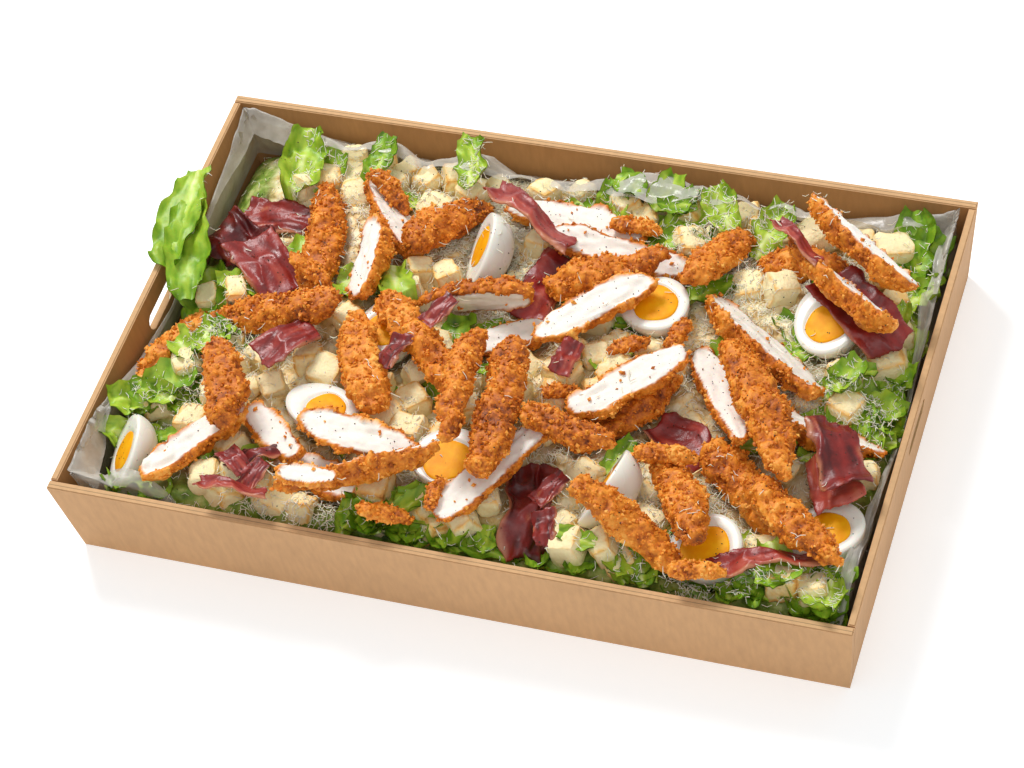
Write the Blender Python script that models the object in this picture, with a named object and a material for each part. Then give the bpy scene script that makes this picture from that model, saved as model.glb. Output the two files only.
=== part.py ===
"""Chicken caesar salad in its kraft catering tray, in metres, +Z up.

The origin is at the middle of the tray's underside. X runs along the tray's long side and -Y is its front.
The tray's panels lean outwards, a film liner lines it, the leaf, crouton and cheese salad is one mound, and
each chicken, egg and bacon piece is a solid of its own. The pieces are laid one after another, bottom first:
each is let down on what lies under it and tilted until it lies as low as it can.
"""

import itertools
import math
import random

import bmesh
import bpy
import numpy as np
from mathutils import Matrix, Vector

MM = 0.001
SEED = 11

# The tray: outside sizes at the rim. Its walls lean out by WALL_LEAN over their height.
TRAY_LENGTH = 0.560
TRAY_WIDTH = 0.370
TRAY_HEIGHT = 0.074
WALL_LEAN = 0.007
LONG_WALL = 0.0065  # folded over twice
END_WALL = 0.005
FLOOR = 0.003
CORNER_SEAM = 0.001  # open gap between an end wall and the long walls
RIM_BEVEL = 0.0008
HAND_SLOT_LENGTH = 0.046
HAND_SLOT_HEIGHT = 0.014
HAND_SLOT_MIDDLE = 0.052  # height of the slot's middle above the table

GAP = 0.0004  # left between pieces that touch
FILM = 0.0006
FILM_LOW, FILM_HIGH = 0.060, 0.071
FILM_SLOT = 0.042  # its edge at the hand slots
FILM_STRAIGHT = (22, 14)  # pieces that a long and a short side are divided into
CORNER_RADIUS = 0.008

HEAP_EDGE = 0.040
HEAP_RISE = 0.018
HEAP_BUMP = 0.0022
HEAP_CELLS = (26, 17)

GRID = 0.002  # cell of the height map that the pieces are laid on
LAID_GAP = 0.0006
SHIFTS = (-0.009, -0.0045, 0.0, 0.0045, 0.009)  # sideways moves a piece may make to lie lower
SHIFT_COST = 0.35  # height that must be won for each unit of such a move
TILT_COST = 0.0003  # and for each degree of tilt
WALL_CLEAR = 0.0085  # from a long or end wall's inside at the rim to the nearest piece
STRIP_STATIONS = 8
STRIP_SIDES = 10
EGG_SIDES = 13
BACON_THICKNESS = 0.0022

# Colours as the materials' base colours: red, green, blue in linear light.
KRAFT = (0.50, 0.30, 0.15)
FILM_COLOUR = (0.75, 0.72, 0.68)
LEAF = (0.25, 0.45, 0.05)
CRUMB_BROWN = (0.50, 0.18, 0.03)
FLESH = (0.90, 0.84, 0.76)
EGG_WHITE = (0.90, 0.88, 0.75)
BACON_RED = (0.25, 0.03, 0.025)

# Each row is laid on top of the rows above it. Places and sizes are in millimetres, angles in degrees.
# x, y: middle.  heading: direction of the long axis, anticlockwise from +X.
# strip: length, width, depth, bend (sideways bow).
# slice: length, width, depth, face (how far the cut face leans to the left of its heading), bend.
# egg: length, width, face (as a slice's).  bacon: length, width, lean (as a slice's face), curl (of its wave).
LAID = [
    ("egg", -92, -12, -75, 58, 43, 0),
    ("egg", -115, -86, -12, 58, 42, 8),
    ("egg", 84, 45, 45, 54, 44, 0),
    ("egg", 248, -108, 70, 56, 43, 5),
    ("egg", 203, 60, -50, 58, 45, -14),
    ("egg", 173, -136, -45, 55, 46, -12),
    ("egg", -14, -107, -50, 55, 46, 0),
    ("egg", -42, 70, 100, 62, 46, 58),
    ("egg", 101, -112, 78, 62, 46, 62),
    ("egg", -224, -143, 105, 60, 44, 52),
    ("strip", -257, -40, 68, 76, 22, 17, 2),
    ("slice", 5, 119, -5, 108, 30, 15, 0, 2),
    ("slice", -102, -133, -12, 64, 30, 15, 4, 2),
    ("slice", -139, -113, -38, 60, 25, 15, 0, -1),
    ("strip", 174, 112, 10, 64, 26, 18, 3),
    ("bacon", 132, -52, -30, 54, 32, 6, 3),
    ("bacon", -218, 92, -5, 56, 33, -6, 2),
    ("bacon", -244, 62, -22, 50, 42, 8, 3),
    ("bacon", 0, 54, 74, 54, 34, -8, 4),
    ("bacon", 50, -136, -80, 68, 36, 4, 5),
    ("bacon", 234, -170, 22, 84, 22, 20, 4),
    ("slice", 45, 94, -3, 108, 26, 15, -12, -2),
    ("strip", 54, 66, 28, 88, 25, 18, -3),
    ("slice", -9, 3, 32, 66, 26, 15, 0, 2),
    ("strip", 115, -159, -22, 98, 23, 17, 5),
    ("slice", -122, 93, -48, 82, 29, 18, 38, 2),
    ("slice", -43, 20, 3, 94, 26, 18, -98, 2),
    ("bacon", -205, 38, -42, 60, 40, 4, 3),
    ("strip", -95, -50, -62, 94, 32, 19, -3),
    ("slice", -184, -160, 46, 84, 28, 17, 6, 2),
    ("strip", -175, -99, -62, 78, 29, 20, 3),
    ("slice", -80, -107, -6, 88, 29, 15, -4, -2),
    ("slice", -68, -145, 22, 114, 27, 18, 52, 3),
    ("slice", 238, -28, -7, 92, 28, 17, 40, -2),
    ("strip", 105, 84, 68, 78, 28, 19, 2),
    ("slice", -113, 38, -80, 74, 27, 17, -36, 2),
    ("strip", 140, -126, -58, 98, 26, 19, -2),
    ("strip", 183, -84, -42, 82, 28, 19, 2),
    ("strip", 236, -130, -37, 92, 30, 20, -2),
    ("bacon", 238, -80, -62, 48, 38, -10, 3),
    ("bacon", 259, -72, -62, 60, 32, 12, 4),
    ("bacon", 231, 64, -40, 72, 38, -14, 5),
    ("strip", -165, -9, 2, 110, 28, 20, -3),
    ("strip", -60, -27, -42, 110, 26, 19, 3),
    ("strip", -88, 79, 62, 88, 28, 19, 4),
    ("strip", 98, -52, 50, 92, 28, 19, -3),
    ("slice", 150, -20, -58, 106, 27, 16, 8, 2),
    ("slice", 166, 40, -36, 114, 34, 19, 46, 3),
    ("slice", 222, 78, -36, 108, 26, 17, 58, 3),
    ("slice", 217, 98, -40, 120, 32, 18, 52, -5),
    ("slice", 47, 26, 45, 94, 31, 16, 0, 2),
    ("slice", 90, -30, 47, 94, 30, 16, 0, -2),
    ("strip", -170, 68, -76, 108, 30, 21, 6),
    ("strip", 183, -38, -58, 134, 31, 21, 3),
    ("slice", 14, -148, 62, 114, 30, 16, 0, 2),
    ("strip", 15, -76, -83, 124, 29, 20, 3),
    ("strip", -8, -71, -82, 112, 23, 18, -3),
]


def material(name, colour, roughness):
    made = bpy.data.materials.new(name)
    made.use_nodes = True
    shader = made.node_tree.nodes["Principled BSDF"]
    shader.inputs["Base Color"].default_value = (*colour, 1.0)
    shader.inputs["Roughness"].default_value = roughness
    shader.inputs["Metallic"].default_value = 0.0
    return made


def solid(name, points, faces, stuff, smooth=True):
    """An object with its faces turned outwards."""
    mesh = bpy.data.meshes.new(name)
    mesh.from_pydata([tuple(p) for p in points], [], faces)
    shape = bmesh.new()
    shape.from_mesh(mesh)
    bmesh.ops.recalc_face_normals(shape, faces=shape.faces)
    shape.to_mesh(mesh)
    shape.free()
    mesh.materials.append(stuff)
    if smooth:
        mesh.shade_smooth()
        mesh.set_sharp_from_angle(angle=math.radians(40))
    made = bpy.data.objects.new(name, mesh)
    bpy.context.scene.collection.objects.link(made)
    return made


def loft_faces(rings, sides, closed_ring=False):
    """Quads between neighbouring rings of points, with a cap on each end unless the rings close on themselves."""
    faces = []
    for ring in range(rings if closed_ring else rings - 1):
        after = (ring + 1) % rings
        for side in range(sides):
            beside = (side + 1) % sides
            faces.append(
                (
                    ring * sides + side,
                    ring * sides + beside,
                    after * sides + beside,
                    after * sides + side,
                )
            )
    if not closed_ring:
        faces.append(tuple(range(sides)))
        faces.append(tuple(range((rings - 1) * sides, rings * sides)))
    return faces


# --- tray -----------------------------------------------------------------------------------------------------


def lean_at(z):
    """How far a wall's outside stands inwards of the rim at this height."""
    return WALL_LEAN * (1 - z / TRAY_HEIGHT)


def inner_half(z, margin=0.0):
    """Half the clear length and width inside the walls at a height, less a margin."""
    return (
        TRAY_LENGTH / 2 - END_WALL - lean_at(z) - margin,
        TRAY_WIDTH / 2 - LONG_WALL - lean_at(z) - margin,
    )


def long_wall(side, kraft):
    """A front (-1) or back (1) wall, which runs the tray's whole length."""
    points = []
    for z, inset in itertools.product((0.0, TRAY_HEIGHT), (0.0, LONG_WALL)):
        x, y = TRAY_LENGTH / 2 - lean_at(z), TRAY_WIDTH / 2 - lean_at(z) - inset
        points += [(-x, side * y, z), (x, side * y, z)]
    return wall("long_wall", points, kraft)


def end_wall(side, kraft):
    """A left (-1) or right (1) wall, which stands between the long ones with a seam at each end."""
    points = []
    for z, inset in itertools.product((0.0, TRAY_HEIGHT), (0.0, END_WALL)):
        x = TRAY_LENGTH / 2 - lean_at(z) - inset
        y = TRAY_WIDTH / 2 - LONG_WALL - lean_at(z) - CORNER_SEAM
        points += [(side * x, -y, z), (side * x, y, z)]
    return wall("end_wall", points, kraft)


def wall(name, points, kraft):
    faces = [(0, 1, 3, 2), (4, 5, 7, 6), (0, 1, 5, 4), (2, 3, 7, 6), (0, 2, 6, 4), (1, 3, 7, 5)]
    made = solid(name, points, faces, kraft, smooth=False)
    shape = bmesh.new()
    shape.from_mesh(made.data)
    rim = [e for e in shape.edges if all(v.co.z > TRAY_HEIGHT - GAP for v in e.verts)]
    bmesh.ops.bevel(shape, geom=rim, offset=RIM_BEVEL, segments=2, affect="EDGES")
    shape.to_mesh(made.data)
    shape.free()
    return made


def floor_panel(kraft):
    points = []
    for z in (0.0, FLOOR):
        x, y = TRAY_LENGTH / 2 - lean_at(z) - GAP, TRAY_WIDTH / 2 - lean_at(z) - GAP
        points += [(-x, -y, z), (x, -y, z), (x, y, z), (-x, y, z)]
    return solid("tray", points, loft_faces(2, 4), kraft, smooth=False)


def hand_slot(side, kraft):
    """A cutter with round ends that goes through an end wall."""
    turn, reach = 12, 0.02
    straight = HAND_SLOT_LENGTH / 2 - HAND_SLOT_HEIGHT / 2
    outline = []
    for step in range(turn):
        angle = 2 * math.pi * (step + 0.5) / turn
        outline.append(
            (
                math.copysign(straight, math.cos(angle)) + HAND_SLOT_HEIGHT / 2 * math.cos(angle),
                HAND_SLOT_MIDDLE + HAND_SLOT_HEIGHT / 2 * math.sin(angle),
            )
        )
    middle = side * (TRAY_LENGTH / 2 - lean_at(HAND_SLOT_MIDDLE) - END_WALL / 2)
    points = [(middle + dx, y, z) for dx in (-reach, reach) for y, z in outline]
    return solid("hand_slot", points, loft_faces(2, turn), kraft, smooth=False)


def apply_boolean(target, other, operation):
    modifier = target.modifiers.new(operation.lower(), "BOOLEAN")
    modifier.operation = operation
    modifier.object = other
    bpy.context.view_layer.update()
    graph = bpy.context.evaluated_depsgraph_get()
    joined = bpy.data.meshes.new_from_object(target.evaluated_get(graph))
    target.modifiers.clear()
    target.data = joined
    bpy.data.objects.remove(other)


def make_tray():
    kraft = material("kraft_board", KRAFT, 0.8)
    tray = floor_panel(kraft)
    for side in (-1, 1):
        panel = end_wall(side, kraft)
        apply_boolean(panel, hand_slot(side, kraft), "DIFFERENCE")
        apply_boolean(tray, panel, "UNION")
        apply_boolean(tray, long_wall(side, kraft), "UNION")
    return tray


# --- film liner -----------------------------------------------------------------------------------------------


def outline(half_length, half_width):
    """Points round a rectangle with round corners: a few on each bend, then FILM_STRAIGHT between bends."""
    radius = CORNER_RADIUS
    across, up = half_length - radius, half_width - radius
    corners = ((across, up), (-across, up), (-across, -up), (across, -up))
    found = []
    for quarter, corner in enumerate(corners):
        for step in range(4):
            angle = (quarter + step / 3) * math.pi / 2
            found.append((corner[0] + radius * math.cos(angle), corner[1] + radius * math.sin(angle)))
        here = found[-1]
        run = 2 * (across, up)[quarter % 2]
        for step in range(1, FILM_STRAIGHT[quarter % 2]):
            travel = run * step / FILM_STRAIGHT[quarter % 2]
            found.append((here[0] - travel * math.sin(angle), here[1] + travel * math.cos(angle)))
    return found


def film_top(share, place):
    """Height of the film's loose upper edge, which dips below the hand slots."""
    turn = 2 * math.pi * share
    wave = 0.5 + 0.28 * math.sin(3 * turn + 0.6) + 0.22 * math.sin(7 * turn + 2.1)
    top = FILM_LOW + (FILM_HIGH - FILM_LOW) * min(max(wave, 0.0), 1.0)
    if abs(place[0]) > TRAY_LENGTH / 2 - 0.02:
        clear = min(max((abs(place[1]) - HAND_SLOT_LENGTH / 2 - 0.006) / 0.05, 0.0), 1.0)
        top = FILM_SLOT + (top - FILM_SLOT) * clear
    return top


def make_liner():
    film = material("film", FILM_COLOUR, 0.3)
    low = FLOOR + GAP
    outer = outline(*inner_half(low, GAP))
    inner = outline(*inner_half(low + FILM, GAP + FILM))
    count = len(outer)
    points = []
    for station in range(count):
        top = film_top(station / count, outer[station])
        points += [
            (*outer[station], low),
            (*outline(*inner_half(top, GAP))[station], top),
            (*outline(*inner_half(top, GAP + FILM))[station], top),
            (*inner[station], low + FILM),
        ]
    faces = []
    for station in range(count):
        here, after = 4 * station, 4 * ((station + 1) % count)
        faces += [(here + k, here + k + 1, after + k + 1, after + k) for k in range(3)]
    faces.append(tuple(4 * station for station in range(count)))
    faces.append(tuple(4 * station + 3 for station in range(count)))
    return solid("film_liner", points, faces, film, smooth=False)


# --- salad mound ----------------------------------------------------------------------------------------------


def heap_height(x, y):
    """Top of the leaf, crouton and cheese salad. It falls towards the walls, most at the left one."""
    half_x, half_y = TRAY_LENGTH / 2, TRAY_WIDTH / 2
    dome = (1 - np.abs(x / half_x) ** 5) * (1 - np.abs(y / half_y) ** 4)
    left = np.clip((-x - 0.215) / 0.05, 0, 1) * 0.008
    bumps = np.sin(x * 95 + 1.0) * np.sin(y * 110 + 0.4) + 0.6 * np.sin(x * 210 + y * 170)
    return HEAP_EDGE + HEAP_RISE * dome - left + HEAP_BUMP * bumps


def make_heap():
    leaf = material("salad_leaf", LEAF, 0.5)
    columns, rows = HEAP_CELLS
    low = FLOOR + 2 * GAP + FILM
    margin = 2 * GAP + FILM
    floor_x, floor_y = inner_half(low, margin + 0.0005)
    top_x, top_y = inner_half(0.018, margin + 0.0005)
    points, faces = [], []
    for row in range(rows + 1):
        for column in range(columns + 1):
            # Cells crowd towards the walls, so that the rounded shoulder is smooth.
            u = math.sin(math.pi / 2 * (2 * column / columns - 1))
            v = math.sin(math.pi / 2 * (2 * row / rows - 1))
            edge = max(abs(u), abs(v))
            x, y = pulled_in_corner(u * top_x, v * top_y, top_x, top_y)
            z = float(heap_height(np.float64(x), np.float64(y)))
            z -= 0.012 * max(0.0, (edge - 0.93) / 0.07) ** 2
            points.append((x, y, z))
    across = columns + 1
    for row, column in itertools.product(range(rows), range(columns)):
        here = row * across + column
        faces.append((here, here + 1, here + across + 1))
        faces.append((here, here + across + 1, here + across))
    top_faces = list(faces)
    border = (
        [column for column in range(columns)]
        + [row * across + columns for row in range(rows)]
        + [rows * across + column for column in range(columns, 0, -1)]
        + [row * across for row in range(rows, 0, -1)]
    )
    start = len(points)
    for index in border:
        x, y, _ = points[index]
        points.append((x * floor_x / top_x, y * floor_y / top_y, low))
    count = len(border)
    for step in range(count):
        after = (step + 1) % count
        faces.append((border[step], border[after], start + after, start + step))
    faces.append(tuple(range(start, start + count)))
    solid("salad_heap", points, faces, leaf)
    return surface_samples(np.array(points), top_faces)


def pulled_in_corner(x, y, half_x, half_y):
    """Moves a point of the mound's corner square onto the film's round corner."""
    radius = CORNER_RADIUS
    over = Vector((max(abs(x) - half_x + radius, 0), max(abs(y) - half_y + radius, 0)))
    if over.x == 0 or over.y == 0:
        return x, y
    square = max(over.x, over.y)
    over = over.normalized() * square
    return (
        math.copysign(half_x - radius + over.x, x),
        math.copysign(half_y - radius + over.y, y),
    )


# --- toppings, each about its own middle, long axis along X ----------------------------------------------------


def strip_profile(share, blunt):
    """How full a strip is from one end, 0, to the other, 1."""
    return (1 - (0.97 * abs(2 * share - 1)) ** blunt) ** 0.5


def strip_points(length, width, depth, bend, dice, cut):
    """Rings of a lumpy strip. A cut one is flat on top, through its fleshy middle."""
    points = []
    blunt = dice.uniform(2.4, 4.0)
    heavy = dice.uniform(-0.3, 0.3)  # one end is fuller
    for station in range(STRIP_STATIONS):
        share = 0.5 - 0.5 * math.cos(math.pi * station / (STRIP_STATIONS - 1))
        along = share - 0.5
        full = strip_profile(share, blunt) * (1 + heavy * 2 * along) * dice.uniform(0.89, 1.09)
        middle = bend * (1 - 4 * along * along) - bend * 0.6 + width * dice.uniform(-0.05, 0.05)
        for side in range(STRIP_SIDES):
            angle = 2 * math.pi * (side + 0.5) / STRIP_SIDES
            y = 0.5 * width * full * math.copysign(abs(math.cos(angle)) ** 0.85, math.cos(angle))
            z = math.copysign(abs(math.sin(angle)) ** 0.85, math.sin(angle))
            if cut:
                z = min(z, 0.12) * depth * (0.6 + 0.4 * full) if z > 0 else z * depth * full * 0.88
                z = min(z, 0.1 * depth * 0.6)
            else:
                z *= 0.5 * depth * full * dice.uniform(0.94, 1.06)
            points.append((length * along, middle + y, z))
    return points, loft_faces(STRIP_STATIONS, STRIP_SIDES)


def egg_radius(share):
    """Outline of an egg, wider towards one end."""
    along = 2 * share - 1
    return math.sqrt(max(1 - along * along, 0)) * (1 + 0.12 * along)


def egg_points(length, width):
    """Half an egg, cut face up."""
    stations, lift = 6, 0.2 * width
    points = []
    for station in range(stations):
        share = 0.5 - 0.5 * math.cos(math.pi * (station + 0.55) / (stations + 0.1))
        radius = 0.5 * width * egg_radius(share)
        for side in range(EGG_SIDES + 1):
            angle = math.pi * (side / EGG_SIDES - 1)
            points.append((length * (share - 0.5), radius * math.cos(angle), radius * math.sin(angle) + lift))
    return points, loft_faces(stations, EGG_SIDES + 1)


def bacon_points(length, width, curl, dice):
    """A thin rasher piece that waves along its length and cups a little across."""
    long_steps, cross_steps = 7, 3
    phase = dice.uniform(0, 2 * math.pi)
    waves = dice.uniform(1.0, 1.6)
    ragged = [[dice.uniform(-0.07, 0.07) for _ in range(cross_steps + 1)] for _ in (0, 1)]
    edge = [1 + dice.uniform(-0.14, 0.06) for _ in range(long_steps + 1)]
    points = []
    for layer in (0, 1):
        for i in range(long_steps + 1):
            for j in range(cross_steps + 1):
                u, v = i / long_steps - 0.5, j / cross_steps - 0.5
                end = ragged[0][j] if i == 0 else ragged[1][j] if i == long_steps else 0.0
                z = curl * math.sin(2 * math.pi * waves * u + phase + 1.2 * v)
                z += curl * 0.8 * (v * v * 4) * math.cos(3 * u + phase)
                points.append(
                    (
                        length * (u + end * math.copysign(1, u)),
                        width * v * edge[i],
                        z + BACON_THICKNESS * (layer - 0.5),
                    )
                )
    across = cross_steps + 1
    layer_size = across * (long_steps + 1)
    faces = []
    for layer in (0, layer_size):
        for i, j in itertools.product(range(long_steps), range(cross_steps)):
            here = layer + i * across + j
            faces.append((here, here + 1, here + across + 1, here + across))
    border = (
        [j for j in range(cross_steps)]
        + [i * across + cross_steps for i in range(long_steps)]
        + [long_steps * across + j for j in range(cross_steps, 0, -1)]
        + [i * across for i in range(long_steps, 0, -1)]
    )
    for step, here in enumerate(border):
        after = border[(step + 1) % len(border)]
        faces.append((here, after, after + layer_size, here + layer_size))
    return points, faces


# --- laying the pieces ----------------------------------------------------------------------------------------


class HeightMap:
    """The top of everything laid so far, on a square grid over the tray."""

    def __init__(self):
        self.half = (TRAY_LENGTH / 2 + 0.03, TRAY_WIDTH / 2 + 0.03)
        xs = np.arange(-self.half[0], self.half[0], GRID)
        ys = np.arange(-self.half[1], self.half[1], GRID)
        self.x, self.y = np.meshgrid(xs, ys, indexing="ij")
        inside_x, inside_y = inner_half(TRAY_HEIGHT, 2 * GAP + FILM + 0.0035)
        inside = (np.abs(self.x) < inside_x) & (np.abs(self.y) < inside_y)
        self.top = np.where(inside, FLOOR, TRAY_HEIGHT)

    def cell(self, points):
        columns = np.rint((points[:, 0] + self.half[0]) / GRID).astype(int)
        rows = np.rint((points[:, 1] + self.half[1]) / GRID).astype(int)
        return (
            np.clip(columns, 0, self.x.shape[0] - 1),
            np.clip(rows, 0, self.x.shape[1] - 1),
        )

    def widened(self):
        """The map with each cell raised to its highest neighbour, so that slopes between cells are clear too."""
        padded = np.pad(self.top, 1, mode="edge")
        size = self.top.shape
        return np.max(
            [padded[i : i + size[0], j : j + size[1]] for i in range(3) for j in range(3)],
            axis=0,
        )

    def add(self, samples):
        np.maximum.at(self.top, self.cell(samples), samples[:, 2])


def surface_samples(points, faces, step=0.0012):
    """Points all over a surface, no more than about a step apart."""
    found = []
    for face in faces:
        corners = points[list(face)]
        for k in range(1, len(face) - 1):
            a, b, c = corners[0], corners[k], corners[k + 1]
            longest = max(np.linalg.norm(b - a), np.linalg.norm(c - a), np.linalg.norm(c - b))
            count = max(1, math.ceil(longest / step))
            i, j = np.meshgrid(np.arange(count + 1), np.arange(count + 1), indexing="ij")
            keep = i + j <= count
            u, v = i[keep] / count, j[keep] / count
            found.append(a + np.outer(u, b - a) + np.outer(v, c - a))
    return np.concatenate(found)


def turned(points, heading, pitch, roll):
    """Points rolled about their long axis, pitched, then turned to their heading. Angles are in degrees."""
    matrix = (
        Matrix.Rotation(math.radians(heading), 3, "Z")
        @ Matrix.Rotation(math.radians(pitch), 3, "Y")
        @ Matrix.Rotation(math.radians(-roll), 3, "X")
    )
    return points @ np.array(matrix).T


def lay(points, faces, place, heading, roll, tops):
    """Lets a piece down where its middle lies lowest, a small shift and tilt allowed, and adds it to the map."""
    sparse = surface_samples(points, faces, 0.005)
    floor = tops.widened()
    limit = np.array(inner_half(TRAY_HEIGHT, WALL_CLEAR))
    flat = turned(points, heading, 0, roll)[:, :2]
    low_place, high_place = -limit - flat.min(axis=0), limit - flat.max(axis=0)
    best = (1.0, 0, 0, place)
    for coarse in (True, False):
        _, pitch, lean, near = best
        step = 4 if coarse else 2
        tilts = itertools.product(range(-5, 6) if coarse else (-1, 0, 1), range(-2, 3) if coarse else (-1, 0, 1))
        for i, j in tilts:
            tried_tilt = (pitch + step * i, lean + step * j)
            tried = turned(sparse, heading, tried_tilt[0], roll + tried_tilt[1])
            for across, up in itertools.product(SHIFTS if coarse else (-0.002, 0.0, 0.002), repeat=2):
                spot = np.clip(near + (across, up), low_place, high_place)
                columns, rows = tops.cell(tried[:, :2] + spot)
                rise = float(np.max(floor[columns, rows] - tried[:, 2]))
                moved = math.hypot(*(spot - place))
                cost = rise + SHIFT_COST * moved + TILT_COST * (abs(tried_tilt[0]) + abs(tried_tilt[1]))
                if cost < best[0]:
                    best = (cost, *tried_tilt, spot)
    _, pitch, lean, spot = best
    laid = turned(points, heading, pitch, roll + lean)
    laid[:, :2] += spot
    samples = surface_samples(laid, faces)
    columns, rows = tops.cell(samples)
    rise = float(np.max(floor[columns, rows] - samples[:, 2])) + LAID_GAP
    laid[:, 2] += rise
    samples[:, 2] += rise
    tops.add(samples)
    return laid


def make_toppings(tops):
    crumb = material("breaded_crust", CRUMB_BROWN, 0.7)
    flesh = material("chicken_flesh", FLESH, 0.6)
    white = material("egg_white", EGG_WHITE, 0.35)
    red = material("bacon_red", BACON_RED, 0.4)
    looks = {"strip": crumb, "slice": flesh, "egg": white, "bacon": red}
    names = {"strip": "chicken_strip", "slice": "chicken_slice", "egg": "egg_half", "bacon": "bacon"}
    dice = random.Random(SEED)
    made = dict.fromkeys(looks, 0)
    for kind, x, y, heading, *sizes in LAID:
        if kind == "strip":
            length, width, depth, bend = (MM * size for size in sizes)
            points, faces = strip_points(length, width, depth, bend, dice, cut=False)
            roll = 0
        elif kind == "slice":
            length, width, depth = (MM * size for size in sizes[:3])
            roll, bend = sizes[3], MM * sizes[4]
            points, faces = strip_points(length, width, depth, bend, dice, cut=True)
        elif kind == "bacon":
            length, width, roll, curl = MM * sizes[0], MM * sizes[1], sizes[2], MM * sizes[3]
            points, faces = bacon_points(length, width, curl, dice)
        else:
            length, width, roll = MM * sizes[0], MM * sizes[1], sizes[2]
            points, faces = egg_points(length, width)
        place = np.array((MM * x, MM * y))
        laid = lay(np.array(points), faces, place, heading, roll, tops)
        made[kind] += 1
        solid(f"{names[kind]}_{made[kind]:02d}", laid, faces, looks[kind])


def main():
    for old in list(bpy.data.objects):
        bpy.data.objects.remove(old)
    make_tray()
    make_liner()
    tops = HeightMap()
    tops.add(make_heap())
    make_toppings(tops)


main()
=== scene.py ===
import itertools
import math

import bpy
import numpy as np
from mathutils import Matrix, Vector
from mathutils.kdtree import KDTree


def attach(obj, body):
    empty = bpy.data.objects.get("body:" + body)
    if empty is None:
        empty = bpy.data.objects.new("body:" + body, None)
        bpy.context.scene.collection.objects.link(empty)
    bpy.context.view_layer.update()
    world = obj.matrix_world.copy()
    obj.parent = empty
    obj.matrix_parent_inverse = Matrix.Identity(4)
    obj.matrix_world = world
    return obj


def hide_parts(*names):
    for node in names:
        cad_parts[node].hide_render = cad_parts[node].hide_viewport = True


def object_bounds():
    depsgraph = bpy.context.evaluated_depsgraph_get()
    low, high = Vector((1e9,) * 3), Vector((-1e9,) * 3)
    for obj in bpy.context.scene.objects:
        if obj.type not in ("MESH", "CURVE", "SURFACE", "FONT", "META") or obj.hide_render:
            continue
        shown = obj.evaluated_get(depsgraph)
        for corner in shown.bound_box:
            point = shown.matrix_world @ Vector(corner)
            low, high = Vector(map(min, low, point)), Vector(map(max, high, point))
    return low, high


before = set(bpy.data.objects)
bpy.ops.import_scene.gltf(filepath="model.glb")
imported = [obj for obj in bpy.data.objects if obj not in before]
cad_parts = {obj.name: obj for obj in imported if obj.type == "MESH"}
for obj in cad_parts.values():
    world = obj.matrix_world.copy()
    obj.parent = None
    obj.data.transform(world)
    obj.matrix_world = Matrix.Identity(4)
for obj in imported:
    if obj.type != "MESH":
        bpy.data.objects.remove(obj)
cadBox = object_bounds()
dice = np.random.default_rng(7)

# The tray's own sizes, in metres, that the film, leaves and crumbs keep inside.
tray = {"longWall": 0.0065, "endWall": 0.005, "lean": 0.007, "height": 0.074, "corner": 0.008}
grid = {"cell": 0.002, "halfX": 0.30, "halfY": 0.21}
bareCorner = (-0.212, 0.095)  # the back left corner, where only leaves and film lie


# Nodes and materials
def addNode(tree, kind, settings=None, inputs=None):
    made = tree.nodes.new(kind)
    for key, value in (settings or {}).items():
        setattr(made, key, value)
    for key, value in (inputs or {}).items():
        made.inputs[key].default_value = value
    return made


def startMaterial(name, shaderInputs):
    made = bpy.data.materials.new(name)
    made.use_nodes = True
    shader = made.node_tree.nodes["Principled BSDF"]
    for key, value in shaderInputs.items():
        shader.inputs[key].default_value = value
    return made, made.node_tree, shader


def addRamp(tree, factor, stops):
    ramp = addNode(tree, "ShaderNodeValToRGB")
    elements = ramp.color_ramp.elements
    while len(elements) < len(stops):
        elements.new(0.5)
    for element, (place, colour) in zip(elements, stops):
        element.position = place
        element.color = (*colour, 1.0)
    tree.links.new(factor, ramp.inputs["Fac"])
    return ramp.outputs["Color"]


def addNoise(tree, scale, detail=3.0, stretch=None):
    place = addNode(tree, "ShaderNodeTexCoord").outputs["Object"]
    if stretch:
        mapping = addNode(tree, "ShaderNodeMapping", inputs={"Scale": stretch})
        tree.links.new(place, mapping.inputs["Vector"])
        place = mapping.outputs["Vector"]
    noise = addNode(tree, "ShaderNodeTexNoise", inputs={"Scale": scale, "Detail": detail})
    tree.links.new(place, noise.inputs["Vector"])
    return noise.outputs["Fac"]


def addMath(tree, operation, a, b):
    made = addNode(tree, "ShaderNodeMath", {"operation": operation})
    for socket, value in zip(made.inputs, (a, b)):
        if isinstance(value, (int, float)):
            socket.default_value = value
        else:
            tree.links.new(value, socket)
    return made.outputs[0]


def addMix(tree, factor, first, second):
    made = addNode(tree, "ShaderNodeMix", {"data_type": "RGBA"})
    for socket, value in ((made.inputs[0], factor), (made.inputs[6], first), (made.inputs[7], second)):
        if isinstance(value, tuple):
            socket.default_value = (*value, 1.0)
        elif isinstance(value, float):
            socket.default_value = value
        else:
            tree.links.new(value, socket)
    return made.outputs[2]


def addBump(tree, shader, height, distance, strength=0.5):
    bump = addNode(tree, "ShaderNodeBump", inputs={"Strength": strength, "Distance": distance})
    tree.links.new(height, bump.inputs["Height"])
    tree.links.new(bump.outputs["Normal"], shader.inputs["Normal"])


def readAttribute(tree, name):
    return addNode(tree, "ShaderNodeAttribute", {"attribute_name": name}).outputs["Fac"]


def addScaled(tree, value, factor, offset):
    return addMath(tree, "ADD", addMath(tree, "MULTIPLY", value, factor), offset)


# The piece's own tone with fine noise over it.
def addMottle(tree, scale, detail, amount):
    noise = addMath(tree, "SUBTRACT", addNoise(tree, scale, detail), 0.5)
    return addScaled(tree, noise, amount, readAttribute(tree, "tone"))


def toned(colour, factor):
    return tuple(factor * c for c in colour)


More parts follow.
